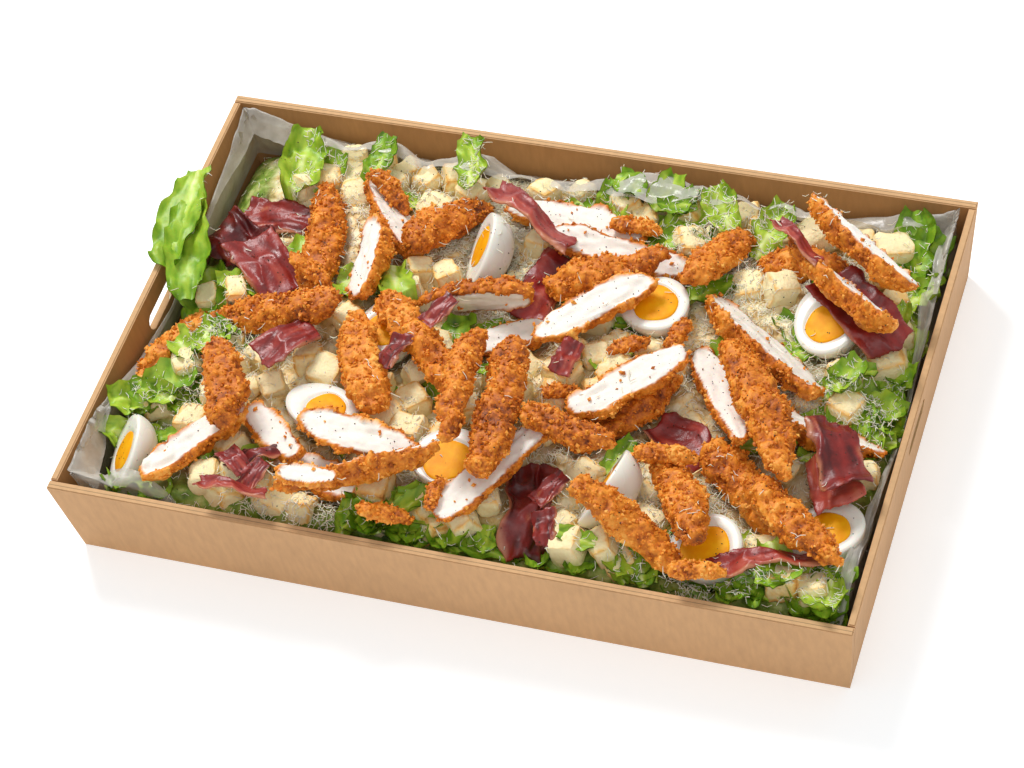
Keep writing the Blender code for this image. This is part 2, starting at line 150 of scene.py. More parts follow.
# Meshes from arrays
def makePiece(
    name, points, faces, materials, nodes=(), smooth=True, faceMaterial=None, values=None
):
    mesh = bpy.data.meshes.new(name)
    count, sides = faces.shape
    mesh.vertices.add(len(points))
    mesh.vertices.foreach_set("co", np.ascontiguousarray(points, dtype=np.float32).ravel())
    mesh.loops.add(count * sides)
    mesh.loops.foreach_set("vertex_index", np.ascontiguousarray(faces, dtype=np.int32).ravel())
    mesh.polygons.add(count)
    mesh.polygons.foreach_set("loop_start", np.arange(0, count * sides, sides, dtype=np.int32))
    if faceMaterial is not None:
        mesh.polygons.foreach_set("material_index", np.ascontiguousarray(faceMaterial, dtype=np.int32))
    mesh.update(calc_edges=True)
    for key, value in (values or {}).items():
        mesh.attributes.new(key, "FLOAT", "POINT").data.foreach_set("value", value.astype(np.float32))
    mesh.polygons.foreach_set("use_smooth", np.full(count, smooth))
    for material in materials:
        mesh.materials.append(material)
    made = bpy.data.objects.new(name, mesh)
    bpy.context.scene.collection.objects.link(made)
    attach(made, "root")
    if nodes:
        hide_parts(*nodes)
    return made


def readArray(items, key, width, kind=float):
    values = np.empty(len(items) * width, dtype=kind)
    items.foreach_get(key, values)
    return values.reshape(-1, width)


def readNode(name):
    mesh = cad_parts[name].data
    mesh.calc_loop_triangles()
    return readArray(mesh.vertices, "co", 3), readArray(mesh.loop_triangles, "vertices", 3, np.int32)


# Even quads over a node's shape, as (points, quads).
def remeshNode(name, cell):
    shape = bpy.data.objects.new("remesh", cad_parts[name].data.copy())
    bpy.context.scene.collection.objects.link(shape)
    modifier = shape.modifiers.new("even", "REMESH")
    modifier.mode = "VOXEL"
    modifier.voxel_size = cell
    bpy.context.view_layer.update()
    evenMesh = bpy.data.meshes.new_from_object(shape.evaluated_get(bpy.context.evaluated_depsgraph_get()))
    points = readArray(evenMesh.vertices, "co", 3)
    faces = readArray(evenMesh.polygons, "vertices", 4, np.int32)
    bpy.data.objects.remove(shape)
    bpy.data.meshes.remove(evenMesh)
    return points, faces


# Each point's sum of the vectors that belong to it.
def addUp(index, vectors, count):
    return np.stack([np.bincount(index, vectors[:, axis], count) for axis in range(3)], axis=1)


def unitRows(rows):
    return rows / np.maximum(np.linalg.norm(rows, axis=1), 1e-12)[:, None]


def smoothPoints(points, faces, rounds):
    here, there = np.concatenate([faces[:, [k, (k + 1) % 4]] for k in range(4)]).T
    size = len(points)
    count = np.bincount(here, minlength=size) + np.bincount(there, minlength=size)
    for step in range(rounds):
        total = addUp(here, points[there], size) + addUp(there, points[here], size)
        points = 0.4 * points + 0.6 * total / count[:, None]
    return points


def pointNormals(points, faces):
    across = np.cross(points[faces[:, 2]] - points[faces[:, 0]], points[faces[:, -1]] - points[faces[:, 1]])
    return unitRows(sum(addUp(corner, across, len(points)) for corner in faces.T))


def gridFaces(rows, columns):
    index = np.arange(rows * columns).reshape(rows, columns)
    corners = [index[:-1, :-1], index[1:, :-1], index[1:, 1:], index[:-1, 1:]]
    return np.stack(corners, axis=-1).reshape(-1, 4)


# Quads between closed rings of points that follow one another.
def ringFaces(rings, count):
    here = np.arange(count)
    after = (here + 1) % count
    band = np.stack([here, after, after + count, here + count], axis=1)
    return np.concatenate([band + ring * count for ring in range(rings - 1)])


def flatPoints(x, y, z=0.0):
    return np.stack([x, y, 0 * x + z], axis=1)


# Smooth noise from -1 to 1, with bumps about one cell across.
def cellNoise(points, cell, seed, octaves=1):
    total, reach = np.zeros(len(points)), 0.0
    for octave in range(octaves):
        scaled = points * (2**octave / cell) + 37.7 * seed
        base = np.floor(scaled).astype(np.int64)
        part = scaled - base
        part = part * part * (3 - 2 * part)
        for bits in itertools.product((0, 1), repeat=3):
            corner = base + bits
            mixed = corner[:, 0] * 73856093 ^ corner[:, 1] * 19349663 ^ corner[:, 2] * 83492791
            mixed = ((mixed ^ (mixed >> 13) ^ (seed + octave) * 668265263) * 1274126177) & 0xFFFFFFFF
            value = ((mixed ^ (mixed >> 15)) & 0xFFFF) / 32767.5 - 1
            total += 0.5**octave * value * np.prod(np.where(bits, part, 1 - part), axis=1)
        reach += 0.5**octave
    return total / reach


def softStep(value, low, high):
    share = np.clip((value - low) / (high - low), 0, 1)
    return share * share * (3 - 2 * share)


# The flat side of a node: (normal, height along it, long axis, its points).
def flatSide(points, faces):
    a, b, c = (points[faces[:, k]] for k in range(3))
    across = np.cross(b - a, c - a)
    area = np.linalg.norm(across, axis=1) / 2
    normals = across / np.maximum(2 * area, 1e-12)[:, None]
    heights = np.einsum("ij,ij->i", normals, (a + b + c) / 3)
    best = (0.0, None)
    for index in np.argsort(-area)[:40]:
        near = (normals @ normals[index] > 0.995) & (abs(heights - heights[index]) < 0.0006)
        if area[near].sum() > best[0]:
            best = (area[near].sum(), near)
    near = best[1]
    normal = (normals[near] * area[near, None]).sum(axis=0)
    normal /= np.linalg.norm(normal)
    flat = points[np.unique(faces[near])]
    long = np.linalg.svd(flat - flat.mean(axis=0))[2][0]
    long -= normal * (long @ normal)
    return normal, float(np.mean(flat @ normal)), long / np.linalg.norm(long), flat


# Random turns in every direction.
def turnMatrices(count):
    w, x, y, z = unitRows(dice.normal(size=(count, 4))).T
    rows = [
        [1 - 2 * (y * y + z * z), 2 * (x * y - z * w), 2 * (x * z + y * w)],
        [2 * (x * y + z * w), 1 - 2 * (x * x + z * z), 2 * (y * z - x * w)],
        [2 * (x * z - y * w), 2 * (y * z + x * w), 1 - 2 * (x * x + y * y)],
    ]
    return np.moveaxis(np.array(rows), 2, 0)


# Many copies of a small shape, each stretched, turned and moved, as one (points, faces).
def scatter(shapePoints, shapeFaces, centres, stretches, turns):
    points = np.einsum("nij,nkj->nki", turns, shapePoints[None] * stretches[:, None, :])
    points = points + centres[:, None, :]
    offsets = np.arange(len(centres))[:, None, None] * len(shapePoints)
    return points.reshape(-1, 3), (shapeFaces[None] + offsets).reshape(-1, shapeFaces.shape[1])


# Random places on a mesh, more of them where the weights are high.
def pickOnFaces(points, faces, weights, count):
    a, b, c = (points[faces[:, k]] for k in (0, 1, 2))
    share = np.linalg.norm(np.cross(b - a, c - a), axis=1) * weights
    chosen = dice.choice(len(faces), size=count, p=share / share.sum())
    u, v = dice.random((2, count, 1))
    start = a[chosen]
    return start + u * (b[chosen] - start) + v * (points[faces[chosen, -1]] - start), chosen


def joined(parts):
    points, faces, start = [], [], 0
    for somePoints, someFaces in parts:
        points.append(somePoints)
        faces.append(someFaces + start)
        start += len(somePoints)
    return np.concatenate(points), np.concatenate(faces)


# Height maps over the tray: where the salad, the toppings' tops and their undersides are
mapShape = (int(2 * grid["halfX"] / grid["cell"]), int(2 * grid["halfY"] / grid["cell"]))
saladTop = np.full(mapShape, 0.02)
toppingTop = np.full(mapShape, -1.0)
toppingLow = np.full(mapShape, 1.0)
leafCover = np.zeros(mapShape, dtype=bool)


def mapCell(points):
    return (
        np.clip(((points[:, 0] + grid["halfX"]) / grid["cell"]).astype(int), 0, mapShape[0] - 1),
        np.clip(((points[:, 1] + grid["halfY"]) / grid["cell"]).astype(int), 0, mapShape[1] - 1),
    )


def cellOf(x, y):
    return mapCell(np.array([[x, y, 0.0]]))


# Where a topping hangs clear of the salad, things can also lie under it.
def surfaceAt(points, isUnder=False):
    cells = mapCell(points)
    return np.where(isUnder, saladTop[cells], np.maximum(saladTop[cells], toppingTop[cells]))


# A map moved by every step within a reach, for the highest, lowest or mean of each cell's neighbours.
def neighbours(heights, reach):
    padded = np.pad(heights, reach, mode="edge")
    steps = range(2 * reach + 1)
    return [padded[i : i + mapShape[0], j : j + mapShape[1]] for i in steps for j in steps]


# Whether each point is within the walls, with a margin.
def insideTray(points, margin):
    halfX = cadBox[1][0] - tray["endWall"] - tray["lean"] * 0.4 - margin
    halfY = cadBox[1][1] - tray["longWall"] - tray["lean"] * 0.4 - margin
    return (abs(points[:, 0]) < halfX) & (abs(points[:, 1]) < halfY)


# Tray
# The inside colour is darker and the rim colour lighter than the outside: shaded and lit copies of one
# board colour, painted shade on the inner faces and painted light on the upward rim.
board = {
    "inside": (0.46, 0.235, 0.087),
    "outside": (0.565, 0.32, 0.152),
    "rim": (0.62, 0.38, 0.19),
    "rough": 0.75,
}


def dressTray():
    made, tree, shader = startMaterial(
        "kraftBoard", {"Roughness": board["rough"], "Specular IOR Level": 0.25}
    )
    fibres = addNoise(tree, 260, 4, (1.0, 1.0, 0.25))
    clouds = addNoise(tree, 14, 2)
    place = addNode(tree, "ShaderNodeSeparateXYZ")
    tree.links.new(addNode(tree, "ShaderNodeTexCoord").outputs["Object"], place.inputs[0])
    facing = addNode(tree, "ShaderNodeSeparateXYZ")
    tree.links.new(addNode(tree, "ShaderNodeNewGeometry").outputs["True Normal"], facing.inputs[0])
    shares = [addMath(tree, "MULTIPLY", place.outputs[axis], facing.outputs[axis]) for axis in (0, 1)]
    outward = addMath(tree, "ADD", *shares)
    isOut = addMath(tree, "GREATER_THAN", outward, 0.02)
    isRim = addMath(tree, "GREATER_THAN", facing.outputs[2], 0.3)
    # Painted shade on the inner faces and painted light on the upward rim, over one board colour.
    colour = addMix(tree, isOut, board["inside"], board["outside"])
    colour = addMix(tree, isRim, colour, board["rim"])
    shade = addScaled(tree, fibres, 0.30, addScaled(tree, clouds, 0.22, 0.74))
    # Two dark ply lines run along each long wall's rim.
    depth = addMath(tree, "SUBTRACT", cadBox[1][1], addMath(tree, "ABSOLUTE", place.outputs[1], 0.0))
    line = addMath(tree, "COMPARE", depth, 0.0031)
    line.node.inputs[2].default_value = 0.0003
    ply = addMath(tree, "MULTIPLY", line, isRim)
    shade = addMath(tree, "MULTIPLY", shade, addScaled(tree, ply, -0.45, 1.0))
    scaled = addNode(tree, "ShaderNodeVectorMath", {"operation": "SCALE"})
    tree.links.new(colour, scaled.inputs[0])
    tree.links.new(shade, scaled.inputs["Scale"])
    tree.links.new(scaled.outputs[0], shader.inputs["Base Color"])
    addBump(tree, shader, fibres, 0.0003, 0.3)
    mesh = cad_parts["tray"].data
    mesh.materials.clear()
    mesh.materials.append(made)
    print("tray dressed")


# Chicken
chicken = {
    "cell": 0.0017,
    "rounding": 7,
    "swell": 0.0027,
    "lump": 0.0030,
    "grain": 0.0013,
    "rim": 0.0016,
    "faceDepth": 0.0022,
    "crumbSpacing": 0.0032,
    "crumbSize": (0.0007, 0.0026),
    "crust": [
        (0.14, (0.14, 0.024, 0.002)),
        (0.38, (0.50, 0.122, 0.006)),
        (0.64, (0.80, 0.265, 0.018)),
        (0.94, (0.98, 0.50, 0.10)),
    ],
    "flesh": (0.92, 0.865, 0.78),
    "pale": {"chicken_strip_05": 0.16, "chicken_strip_01": 0.06, "chicken_strip_04": 0.04},
}


def chickenMaterial():
    made, tree, shader = startMaterial(
        "crumbedChicken",
        {
            "Roughness": 0.55,
            "Subsurface Weight": 0.12,
            "Subsurface Scale": 0.002,
            "Specular IOR Level": 0.35,
        },
    )
    # The tone attribute carries painted shade in the crust's pits.
    crust = addRamp(tree, addMottle(tree, 700, 3, 0.5), chicken["crust"])
    grain = addNoise(tree, 220, 3)
    flesh = addRamp(tree, grain, [(0.3, toned(chicken["flesh"], 0.92)), (0.6, chicken["flesh"])])
    tree.links.new(addMix(tree, readAttribute(tree, "flesh"), crust, flesh), shader.inputs["Base Color"])
    addBump(tree, shader, addNoise(tree, 1100, 3), 0.0004, 0.5)
    return made


def chickenPiece(name, seed):
    points, faces = remeshNode(name, chicken["cell"])
    points = smoothPoints(points, faces, chicken["rounding"])
    normals = pointNormals(points, faces)
    flesh = np.zeros(len(points))
    if "slice" in name:
        normal, height, long = flatSide(*readNode(name))[:3]
        onFace = (points @ normal > height - chicken["faceDepth"]) & (normals @ normal > 0.72)
        rim = points[~onFace]
        tree = KDTree(len(rim))
        for index, place in enumerate(rim):
            tree.insert(place, index)
        tree.balance()
        inwards = np.array([tree.find(p)[2] if on else 0.0 for p, on in zip(points, onFace)])
        ragged = cellNoise(points, 0.005, seed, 2) * 0.0011
        flesh = softStep(inwards + ragged, chicken["rim"], chicken["rim"] + 0.0007)
        side = np.cross(normal, long)
        fibres = np.stack([points @ long / 3.0, points @ side, points @ normal], axis=1)
    lumps = cellNoise(points, 0.0065, seed, 2)
    grain = cellNoise(points, 0.0026, seed + 50, 2)
    swell = cellNoise(points, 0.016, seed + 30)
    rise = chicken["swell"] * swell + chicken["lump"] * lumps + chicken["grain"] * grain
    if "slice" in name:
        cracks = softStep(cellNoise(fibres, 0.006, seed + 9), 0.35, 0.8)
        meat = 0.0014 * cellNoise(fibres, 0.0034, seed, 2) - 0.0024 * cracks
        rise = rise * (1 - flesh) + meat * flesh - 0.0007 * flesh
    # The tone follows the same lumps and grain that raise the crust, so its pits are darker: painted shade;
    # the large noise and the per-piece offsets are its own varied colour.
    tone = 0.50 + 0.27 * lumps + 0.27 * grain + 0.16 * cellNoise(points, 0.03, seed + 7)
    tone += chicken["pale"].get(name, 0.0) + dice.uniform(-0.07, 0.07)
    return points + normals * rise[:, None], faces, {"flesh": flesh, "tone": tone}, normals


# The shape of a crumb or a speck of pepper
octahedron = (
    np.array([(1, 0, 0), (-1, 0, 0), (0, 1, 0), (0, -1, 0), (0, 0, 1), (0, 0, -1)], dtype=float),
    np.array([(0, 2, 4), (2, 1, 4), (1, 3, 4), (3, 0, 4), (2, 0, 5), (1, 2, 5), (3, 1, 5), (0, 3, 5)]),
)


def makeCrumbs(crusts, material):
    parts, tones = [], []
    for points, faces, values, normals in crusts:
        facing = normals[faces[:, 0]][:, 2]
        weights = np.where(values["flesh"][faces].max(axis=1) < 0.2, 1.0, 0.035) * (facing > -0.2)
        a, b, c, d = (points[faces[:, k]] for k in range(4))
        area = (np.linalg.norm(np.cross(c - a, d - b), axis=1) / 2 * weights).sum()
        count = int(area / chicken["crumbSpacing"] ** 2)
        places, chosen = pickOnFaces(points, faces, weights, count)
        size = dice.uniform(*chicken["crumbSize"], size=(count, 1))
        size = size * dice.uniform(0.28, 1.0, size=(count, 3))
        places = places + normals[faces[chosen, 0]] * size.mean(axis=1)[:, None] * 0.5
        parts.append(scatter(*octahedron, places, size, turnMatrices(count)))
        # Each crumb takes part of the tone of the crust under it, painted pit shade included, and a random
        # part.
        tones.append(np.repeat(values["tone"][faces[chosen, 0]] * 0.6 + dice.uniform(0.12, 0.48, count), 6))
    points, faces = joined(parts)
    tones = np.concatenate(tones)
    makePiece(
        "breadCrumbs", points, faces, [material], smooth=False,
        values={"tone": tones, "flesh": np.zeros(len(tones))},
    )
    print("bread crumbs", len(faces))


# Eggs
egg = {
    "rounds": 56,
    "yolkRadius": 0.33,
    "yolkRise": 0.0009,
    "white": (0.88, 0.865, 0.77),
    "yolk": [(0.35, (0.92, 0.35, 0.0)), (0.65, (0.98, 0.47, 0.004))],
}


def eggMaterials():
    white, tree, shader = startMaterial(
        "eggWhite", {"Subsurface Weight": 0.2, "Subsurface Scale": 0.003, "Specular IOR Level": 0.5}
    )
    soft = addNoise(tree, 60, 2)
    colour = addRamp(tree, soft, [(0.3, toned(egg["white"], 0.95)), (0.7, egg["white"])])
    tree.links.new(colour, shader.inputs["Base Color"])
    tree.links.new(addScaled(tree, soft, 0.25, 0.14), shader.inputs["Roughness"])
    addBump(tree, shader, soft, 0.0006, 0.25)
    yolk, tree, shader = startMaterial(
        "eggYolk",
        {
            "Subsurface Weight": 0.05,
            "Subsurface Scale": 0.002,
            "Roughness": 0.5,
            "Specular IOR Level": 0.2,
        },
    )
    grain = addNoise(tree, 320, 4)
    tree.links.new(addRamp(tree, addNoise(tree, 120, 3), egg["yolk"]), shader.inputs["Base Color"])
    addBump(tree, shader, grain, 0.0006, 0.5)
    return white, yolk


def eggPiece(name, seed):
    normal, height, long, flat = flatSide(*readNode(name))
    side = np.cross(normal, long)
    along, across = flat @ long, flat @ side
    ends = [np.ptp(across[along * sign > np.median(along * sign) + 0.008]) for sign in (1, -1)]
    if ends[0] < ends[1]:
        long, side = -long, -side
        along, across = -along, -across
    half, halfWidth = np.ptp(along) / 2, np.ptp(across) / 2
    middle = long * (along.max() + along.min()) / 2 + side * (across.max() + across.min()) / 2
    middle = middle + normal * height
    turn = np.linspace(0, 2 * math.pi, egg["rounds"], endpoint=False)
    outline = flatPoints(half * np.cos(turn), halfWidth * np.sin(turn) * (1 + 0.10 * np.cos(turn)))
    wobble = 1 + 0.025 * np.sin(3 * turn + seed) + 0.02 * np.sin(5 * turn + 2 * seed)
    radius = egg["yolkRadius"] * 2 * halfWidth * wobble
    offset = half * dice.uniform(0.02, 0.16)
    yolkEdge = flatPoints(offset + radius * np.cos(turn), radius * np.sin(turn))
    up = np.array([0.0, 0.0, 1.0])
    yolkMiddle = np.array([offset, 0.0, 0.0])
    rings = [
        yolkMiddle + (yolkEdge - yolkMiddle) * s + up * egg["yolkRise"] * (1 - s**3)
        for s in (0.04, 0.2, 0.4, 0.6, 0.8, 0.92)
    ]
    rings += [yolkEdge + up * z for z in (-0.0002, -0.0007)]
    yolkRings = len(rings)
    rings += [
        yolkEdge + (outline - yolkEdge) * s + up * z
        for s, z in ((0.04, 0.0), (0.3, 0.0002), (0.65, 0.0002), (0.93, 0.0))
    ]
    for lat in np.linspace(0.06, math.pi / 2 - 0.02, 16):
        ring = outline * math.cos(lat) * (1.0 - 0.012 * (lat < 0.1))
        ring[:, 2] = -halfWidth * 1.02 * math.sin(lat) * (1 + 0.10 * np.cos(turn) * math.cos(lat))
        rings.append(ring)
    count = egg["rounds"]
    local = np.concatenate(rings)
    points = middle + local[:, :1] * long + local[:, 1:2] * side + local[:, 2:] * normal
    points += unitRows(points - middle) * (cellNoise(points, 0.012, seed) * 0.0003)[:, None]
    faces = [ringFaces(len(rings), count)[:, [0, 3, 2, 1]]]
    kinds = [1] * (count * (yolkRings - 1)) + [0] * (count * (len(rings) - yolkRings))
    for ring, flip in ((0, False), (len(rings) - 1, True)):
        centre = len(points)
        points = np.concatenate([points, points[ring * count : ring * count + count].mean(axis=0)[None]])
        here = ring * count + np.arange(count)
        after = ring * count + (np.arange(count) + 1) % count
        fan = np.stack([here, after, np.full(count, centre), np.full(count, centre)], axis=1)
        faces.append(fan[:, ::-1] if flip else fan)
        kinds += [0 if flip else 1] * count
    return points, np.concatenate(faces), np.array(kinds)


# Cured bacon
bacon = {
    "cell": 0.0014,
    "wrinkle": 0.0028,
    "torn": 0.0065,
    "rough": {"bacon_05": 2.0, "bacon_03": 1.3, "bacon_09": 1.3},
    "lean": [(0.22, (0.085, 0.005, 0.005)), (0.5, (0.27, 0.017, 0.012)), (0.80, (0.54, 0.095, 0.055))],
    "fat": (0.50, 0.19, 0.09),
    "tones": {"bacon_03": -0.15, "bacon_05": -0.13, "bacon_09": -0.10, "bacon_08": 0.22, "bacon_06": 0.15},
}


def baconMaterial():
    made, tree, shader = startMaterial(
        "curedBacon",
        {"Subsurface Weight": 0.12, "Subsurface Scale": 0.002, "Specular IOR Level": 0.55},
    )
    streaks = addMottle(tree, 160, 4, 0.3)
    lean = addRamp(tree, streaks, bacon["lean"])
    colour = addMix(tree, readAttribute(tree, "fat"), lean, bacon["fat"])
    tree.links.new(colour, shader.inputs["Base Color"])
    tree.links.new(addScaled(tree, addNoise(tree, 90, 2), 0.35, 0.20), shader.inputs["Roughness"])
    addBump(tree, shader, addNoise(tree, 420, 4), 0.0007, 0.5)
    return made


def baconPiece(name, seed):
    points, faces = remeshNode(name, bacon["cell"])
    points = smoothPoints(points, faces, 3)
    middle = points.mean(axis=0)
    long, side, normal = np.linalg.svd(points - middle, full_matrices=False)[2]
    u, v = (points - middle) @ long, (points - middle) @ side
    sheet = flatPoints(u / 2.2, v, 0.01 * seed)
    ridges = 1 - 2 * abs(cellNoise(sheet, 0.0105, seed, 2))
    rise = bacon["wrinkle"] * (ridges + 0.7 * cellNoise(sheet, 0.02, seed + 3))
    streak = cellNoise(flatPoints(u / 6, v), 0.004, seed + 5, 2)
    edge = v.max() - v + 0.003 * cellNoise(flatPoints(u, 0 * u), 0.012, seed + 8, 2)
    fat = np.clip(1 - softStep(edge, 0.0012, 0.0042), 0, 1) * 0.85
    fat = np.maximum(fat, 0.5 * softStep(streak, 0.45, 0.7))
    tone = 0.45 + 0.25 * streak + 0.12 * cellNoise(sheet, 0.03, seed + 6) + bacon["tones"].get(name, 0.0)
    # Its outline is torn, not straight.
    rise = rise[:, None] * normal
    rise += bacon["torn"] * cellNoise(sheet, 0.020, seed + 11, 3)[:, None] * long
    rise += bacon["torn"] * cellNoise(sheet, 0.016, seed + 12, 3)[:, None] * side
    return points + rise * bacon["rough"].get(name, 1.0), faces, {"tone": tone, "fat": fat}


# Salad core, under the leaves, croutons and cheese
core = {
    "drop": 0.0045,
    "well": 0.0075,
    "frontWell": 0.014,
    "bump": 0.0035,
    "cell": 0.0038,
    # how much painted shade falls close to the toppings, and the painted shade's colour
    "shade": 0.45,
    "crevice": (0.16, 0.07, 0.012),
    "leafy": [(0.30, (0.05, 0.10, 0.010)), (0.5, (0.20, 0.32, 0.03)), (0.72, (0.55, 0.58, 0.20))],
    "bready": [(0.32, (0.36, 0.18, 0.035)), (0.46, (0.88, 0.66, 0.29)), (0.62, (1.0, 0.91, 0.62))],
}


# Near the walls the salad is mostly leaf, further in mostly croutons and cheese.
def leafiness(x, y):
    sides = np.maximum(softStep(abs(x), 0.205, 0.262), softStep(-y, 0.125, 0.168))
    return np.maximum(sides, 0.5 * softStep(y, 0.135, 0.168))


def makeCore():
    points, faces = remeshNode("salad_heap", core["cell"])
    points = smoothPoints(points, faces, 3)
    top = softStep(points[:, 2], 0.012, 0.024)
    # It wells up between the toppings and stays just under them.
    under = np.min(neighbours(toppingLow, 2), axis=0)
    room = np.minimum(under[mapCell(points)] - 0.0012, tray["height"] - 0.008)
    well = core["well"] + core["frontWell"] * softStep(-points[:, 1], 0.11, 0.165)
    well += core["bump"] * cellNoise(points, 0.014, 3, 2)
    # It stays low by the back wall, and by the left wall where the hand slot is seen.
    well *= 1 - softStep(points[:, 1], 0.105, 0.150)
    well *= 1 - softStep(-points[:, 0], 0.225, 0.262)
    points[:, 2] += top * np.maximum(np.minimum(well, room - points[:, 2]), -core["drop"])
    made, tree, shader = startMaterial(
        "saladCore", {"Roughness": 0.5, "Subsurface Weight": 0.1, "Subsurface Scale": 0.002}
    )
    mottle = addNoise(tree, 110, 4)
    bready, green = addRamp(tree, mottle, core["bready"]), addRamp(tree, mottle, core["leafy"])
    colour = addMix(tree, readAttribute(tree, "leafy"), bready, green)
    # The shade attribute mixes in painted shade close to the toppings.
    colour = addMix(tree, readAttribute(tree, "shade"), colour, core["crevice"])
    tree.links.new(colour, shader.inputs["Base Color"])
    addBump(tree, shader, addNoise(tree, 190, 5), 0.0025, 0.8)
    # Painted shade: it is darkened close to the toppings, where their shade falls.
    crowd = np.mean(neighbours((toppingTop > 0).astype(float), 3), axis=0)
    shade = core["shade"] * softStep(crowd[mapCell(points)], 0.25, 0.90)
    leafy = leafiness(points[:, 0], points[:, 1]) + 0.5 * cellNoise(points, 0.02, 9, 2)
    values = {"leafy": softStep(leafy, 0.25, 0.75), "shade": shade}
    makePiece("saladCore", points, faces, [made], nodes=("salad_heap",), values=values)
    np.maximum.at(saladTop, mapCell(points), points[:, 2])
    # Fill cells that no point fell in.
    for step in range(2):
        around = np.max(neighbours(saladTop, 1), axis=0)
        saladTop[:] = np.where(saladTop < 0.021, around, saladTop)
    print("salad core", len(faces))


leaf = {
    "steps": (24, 16),
    "scrapSteps": (11, 9),
    "thick": 0.0005,
    "scraps": 190,
    "reach": (0.262, 0.170),
    "overhang": (0, 1),  # rows that hang over the left rim
    # x, y, spread in millimetres: where small leaves gather
    "clusters": [
        (-238, -85, 26), (-212, -30, 12), (264, -10, 26), (262, -120, 26), (246, -164, 36), (250, -172, 26),
        (150, -174, 44), (60, -176, 36), (-20, -176, 34), (-224, -168, 22), (254, 128, 30), (225, -5, 26),
        (92, 132, 46), (20, 130, 26), (-60, -174, 24), (262, 60, 24), (200, -172, 34), (10, -177, 24),
        (95, -177, 24), (-35, -177, 24), (-205, -176, 14),
    ],
    # x, y, length, width, heading, rise of the tip, ruffle, in millimetres and degrees
    "rows": [
        (-275, 72, 90, 44, 275, -3, 1.1),
        (-264, 46, 86, 42, 288, -7, 1.1),
        (-247, 22, 62, 42, 285, 8, 1.0),
        (-208, 122, 52, 46, 95, 12, 1.0),
        (-192, 126, 36, 30, 70, 10, 1.0),
        (262, 128, 56, 48, 60, 18, 1.0),
        (246, 140, 50, 40, 95, 16, 1.0),
        (262, 98, 46, 40, 20, 14, 1.0),
        (-228, -30, 44, 36, 340, 12, 1.0),
        (-240, -84, 52, 42, 215, 14, 1.1),
        (-242, -118, 50, 28, 190, 16, 0.8),
        (-226, -170, 44, 36, 240, 12, 1.0),
        (80, 128, 44, 34, 60, 12, 1.0),
        (142, 126, 46, 36, 75, 12, 1.0),
        (112, 134, 40, 32, 120, 10, 1.0),
        (270, -6, 46, 42, 20, 18, 1.1),
        (262, 20, 40, 36, 60, 12, 1.0),
        (262, -120, 44, 42, 300, 14, 1.1),
        (266, -158, 54, 46, 320, 18, 1.2),
        (234, -172, 50, 40, 290, 10, 1.1),
        (200, -172, 42, 30, 260, 8, 1.0),
        (98, -176, 44, 30, 250, 8, 1.0),
        (134, -176, 40, 28, 280, 8, 1.0),
        (28, 128, 44, 34, 100, 10, 1.0),
        (24, 52, 30, 22, 40, 8, 0.8),
        (-12, -174, 40, 28, 260, 8, 1.0),
        (60, -176, 40, 28, 280, 8, 1.0),
        (-205, 18, 40, 34, 200, 9, 1.0),
        (-150, 134, 40, 30, 80, 9, 1.0),
        (-80, 140, 44, 30, 100, 8, 1.0),
    ],
    "colours": [
        (0.12, (0.05, 0.13, 0.005)),
        (0.42, (0.19, 0.37, 0.012)),
        (0.72, (0.46, 0.62, 0.05)),
        (0.97, (0.74, 0.82, 0.36)),
    ],
}


def leafMaterial():
    made, tree, shader = startMaterial(
        "lettuce",
        {
            "Roughness": 0.42,
            "Subsurface Weight": 0.15,
            "Subsurface Scale": 0.0015,
            "Specular IOR Level": 0.38,
        },
    )
    tone = addMottle(tree, 130, 3, 0.35)
    tree.links.new(addRamp(tree, tone, leaf["colours"]), shader.inputs["Base Color"])
    addBump(tree, shader, addNoise(tree, 350, 3), 0.0006, 0.4)
    return made


def leafShape(length, width, rise, ruffle, seed, steps):
    u, v = np.meshgrid(np.linspace(0, 1, steps[0]), np.linspace(-1, 1, steps[1]), indexing="ij")
    u, v = u.ravel(), v.ravel()
    edge = cellNoise(flatPoints(u * 5, np.sign(v)), 1.0, seed, 2)
    half = 0.5 * width * np.sin(math.pi * (0.12 + 0.76 * u)) ** 0.55 * (1 + 0.38 * edge)
    x = length * (u - 0.35) * (1 + 0.12 * edge * abs(v))
    y = half * v * (1 - 0.25 * abs(v))
    wave = cellNoise(flatPoints(u * 8, v * 2.2), 1.0, seed + 1, 2)
    ripple = np.sin(u * 23 + 2.2 * np.sign(v) + 3 * wave + seed) * abs(v) ** 1.6
    z = rise * u**1.6 + 0.12 * width * ruffle * (wave + 0.40 * ripple) + 0.16 * width * v * v - 0.0015
    rib = 0.0012 * np.exp(-((v / 0.10) ** 2)) * (1 - u)
    z += 0.0022 * cellNoise(flatPoints(x, y), 0.0065, seed + 2, 2) + rib
    tone = 0.54 + 0.20 * wave - 0.14 * (u - 0.5) + 0.36 * np.exp(-((v / 0.12) ** 2)) * (1 - 0.6 * u)
    tone -= 0.12 * softStep(abs(np.sin(v * 9 + u * 7)), 0.85, 1.0)
    return np.stack([x, y, z], axis=1), gridFaces(*steps), tone


# Moves a whole piece sideways, in place, until it is within the reach.
def pullIn(points, reach):
    start, end = points[:, :2].min(axis=0), points[:, :2].max(axis=0)
    points[:, :2] += np.clip(-reach - start, 0, 1) - np.clip(end - reach, 0, 1)


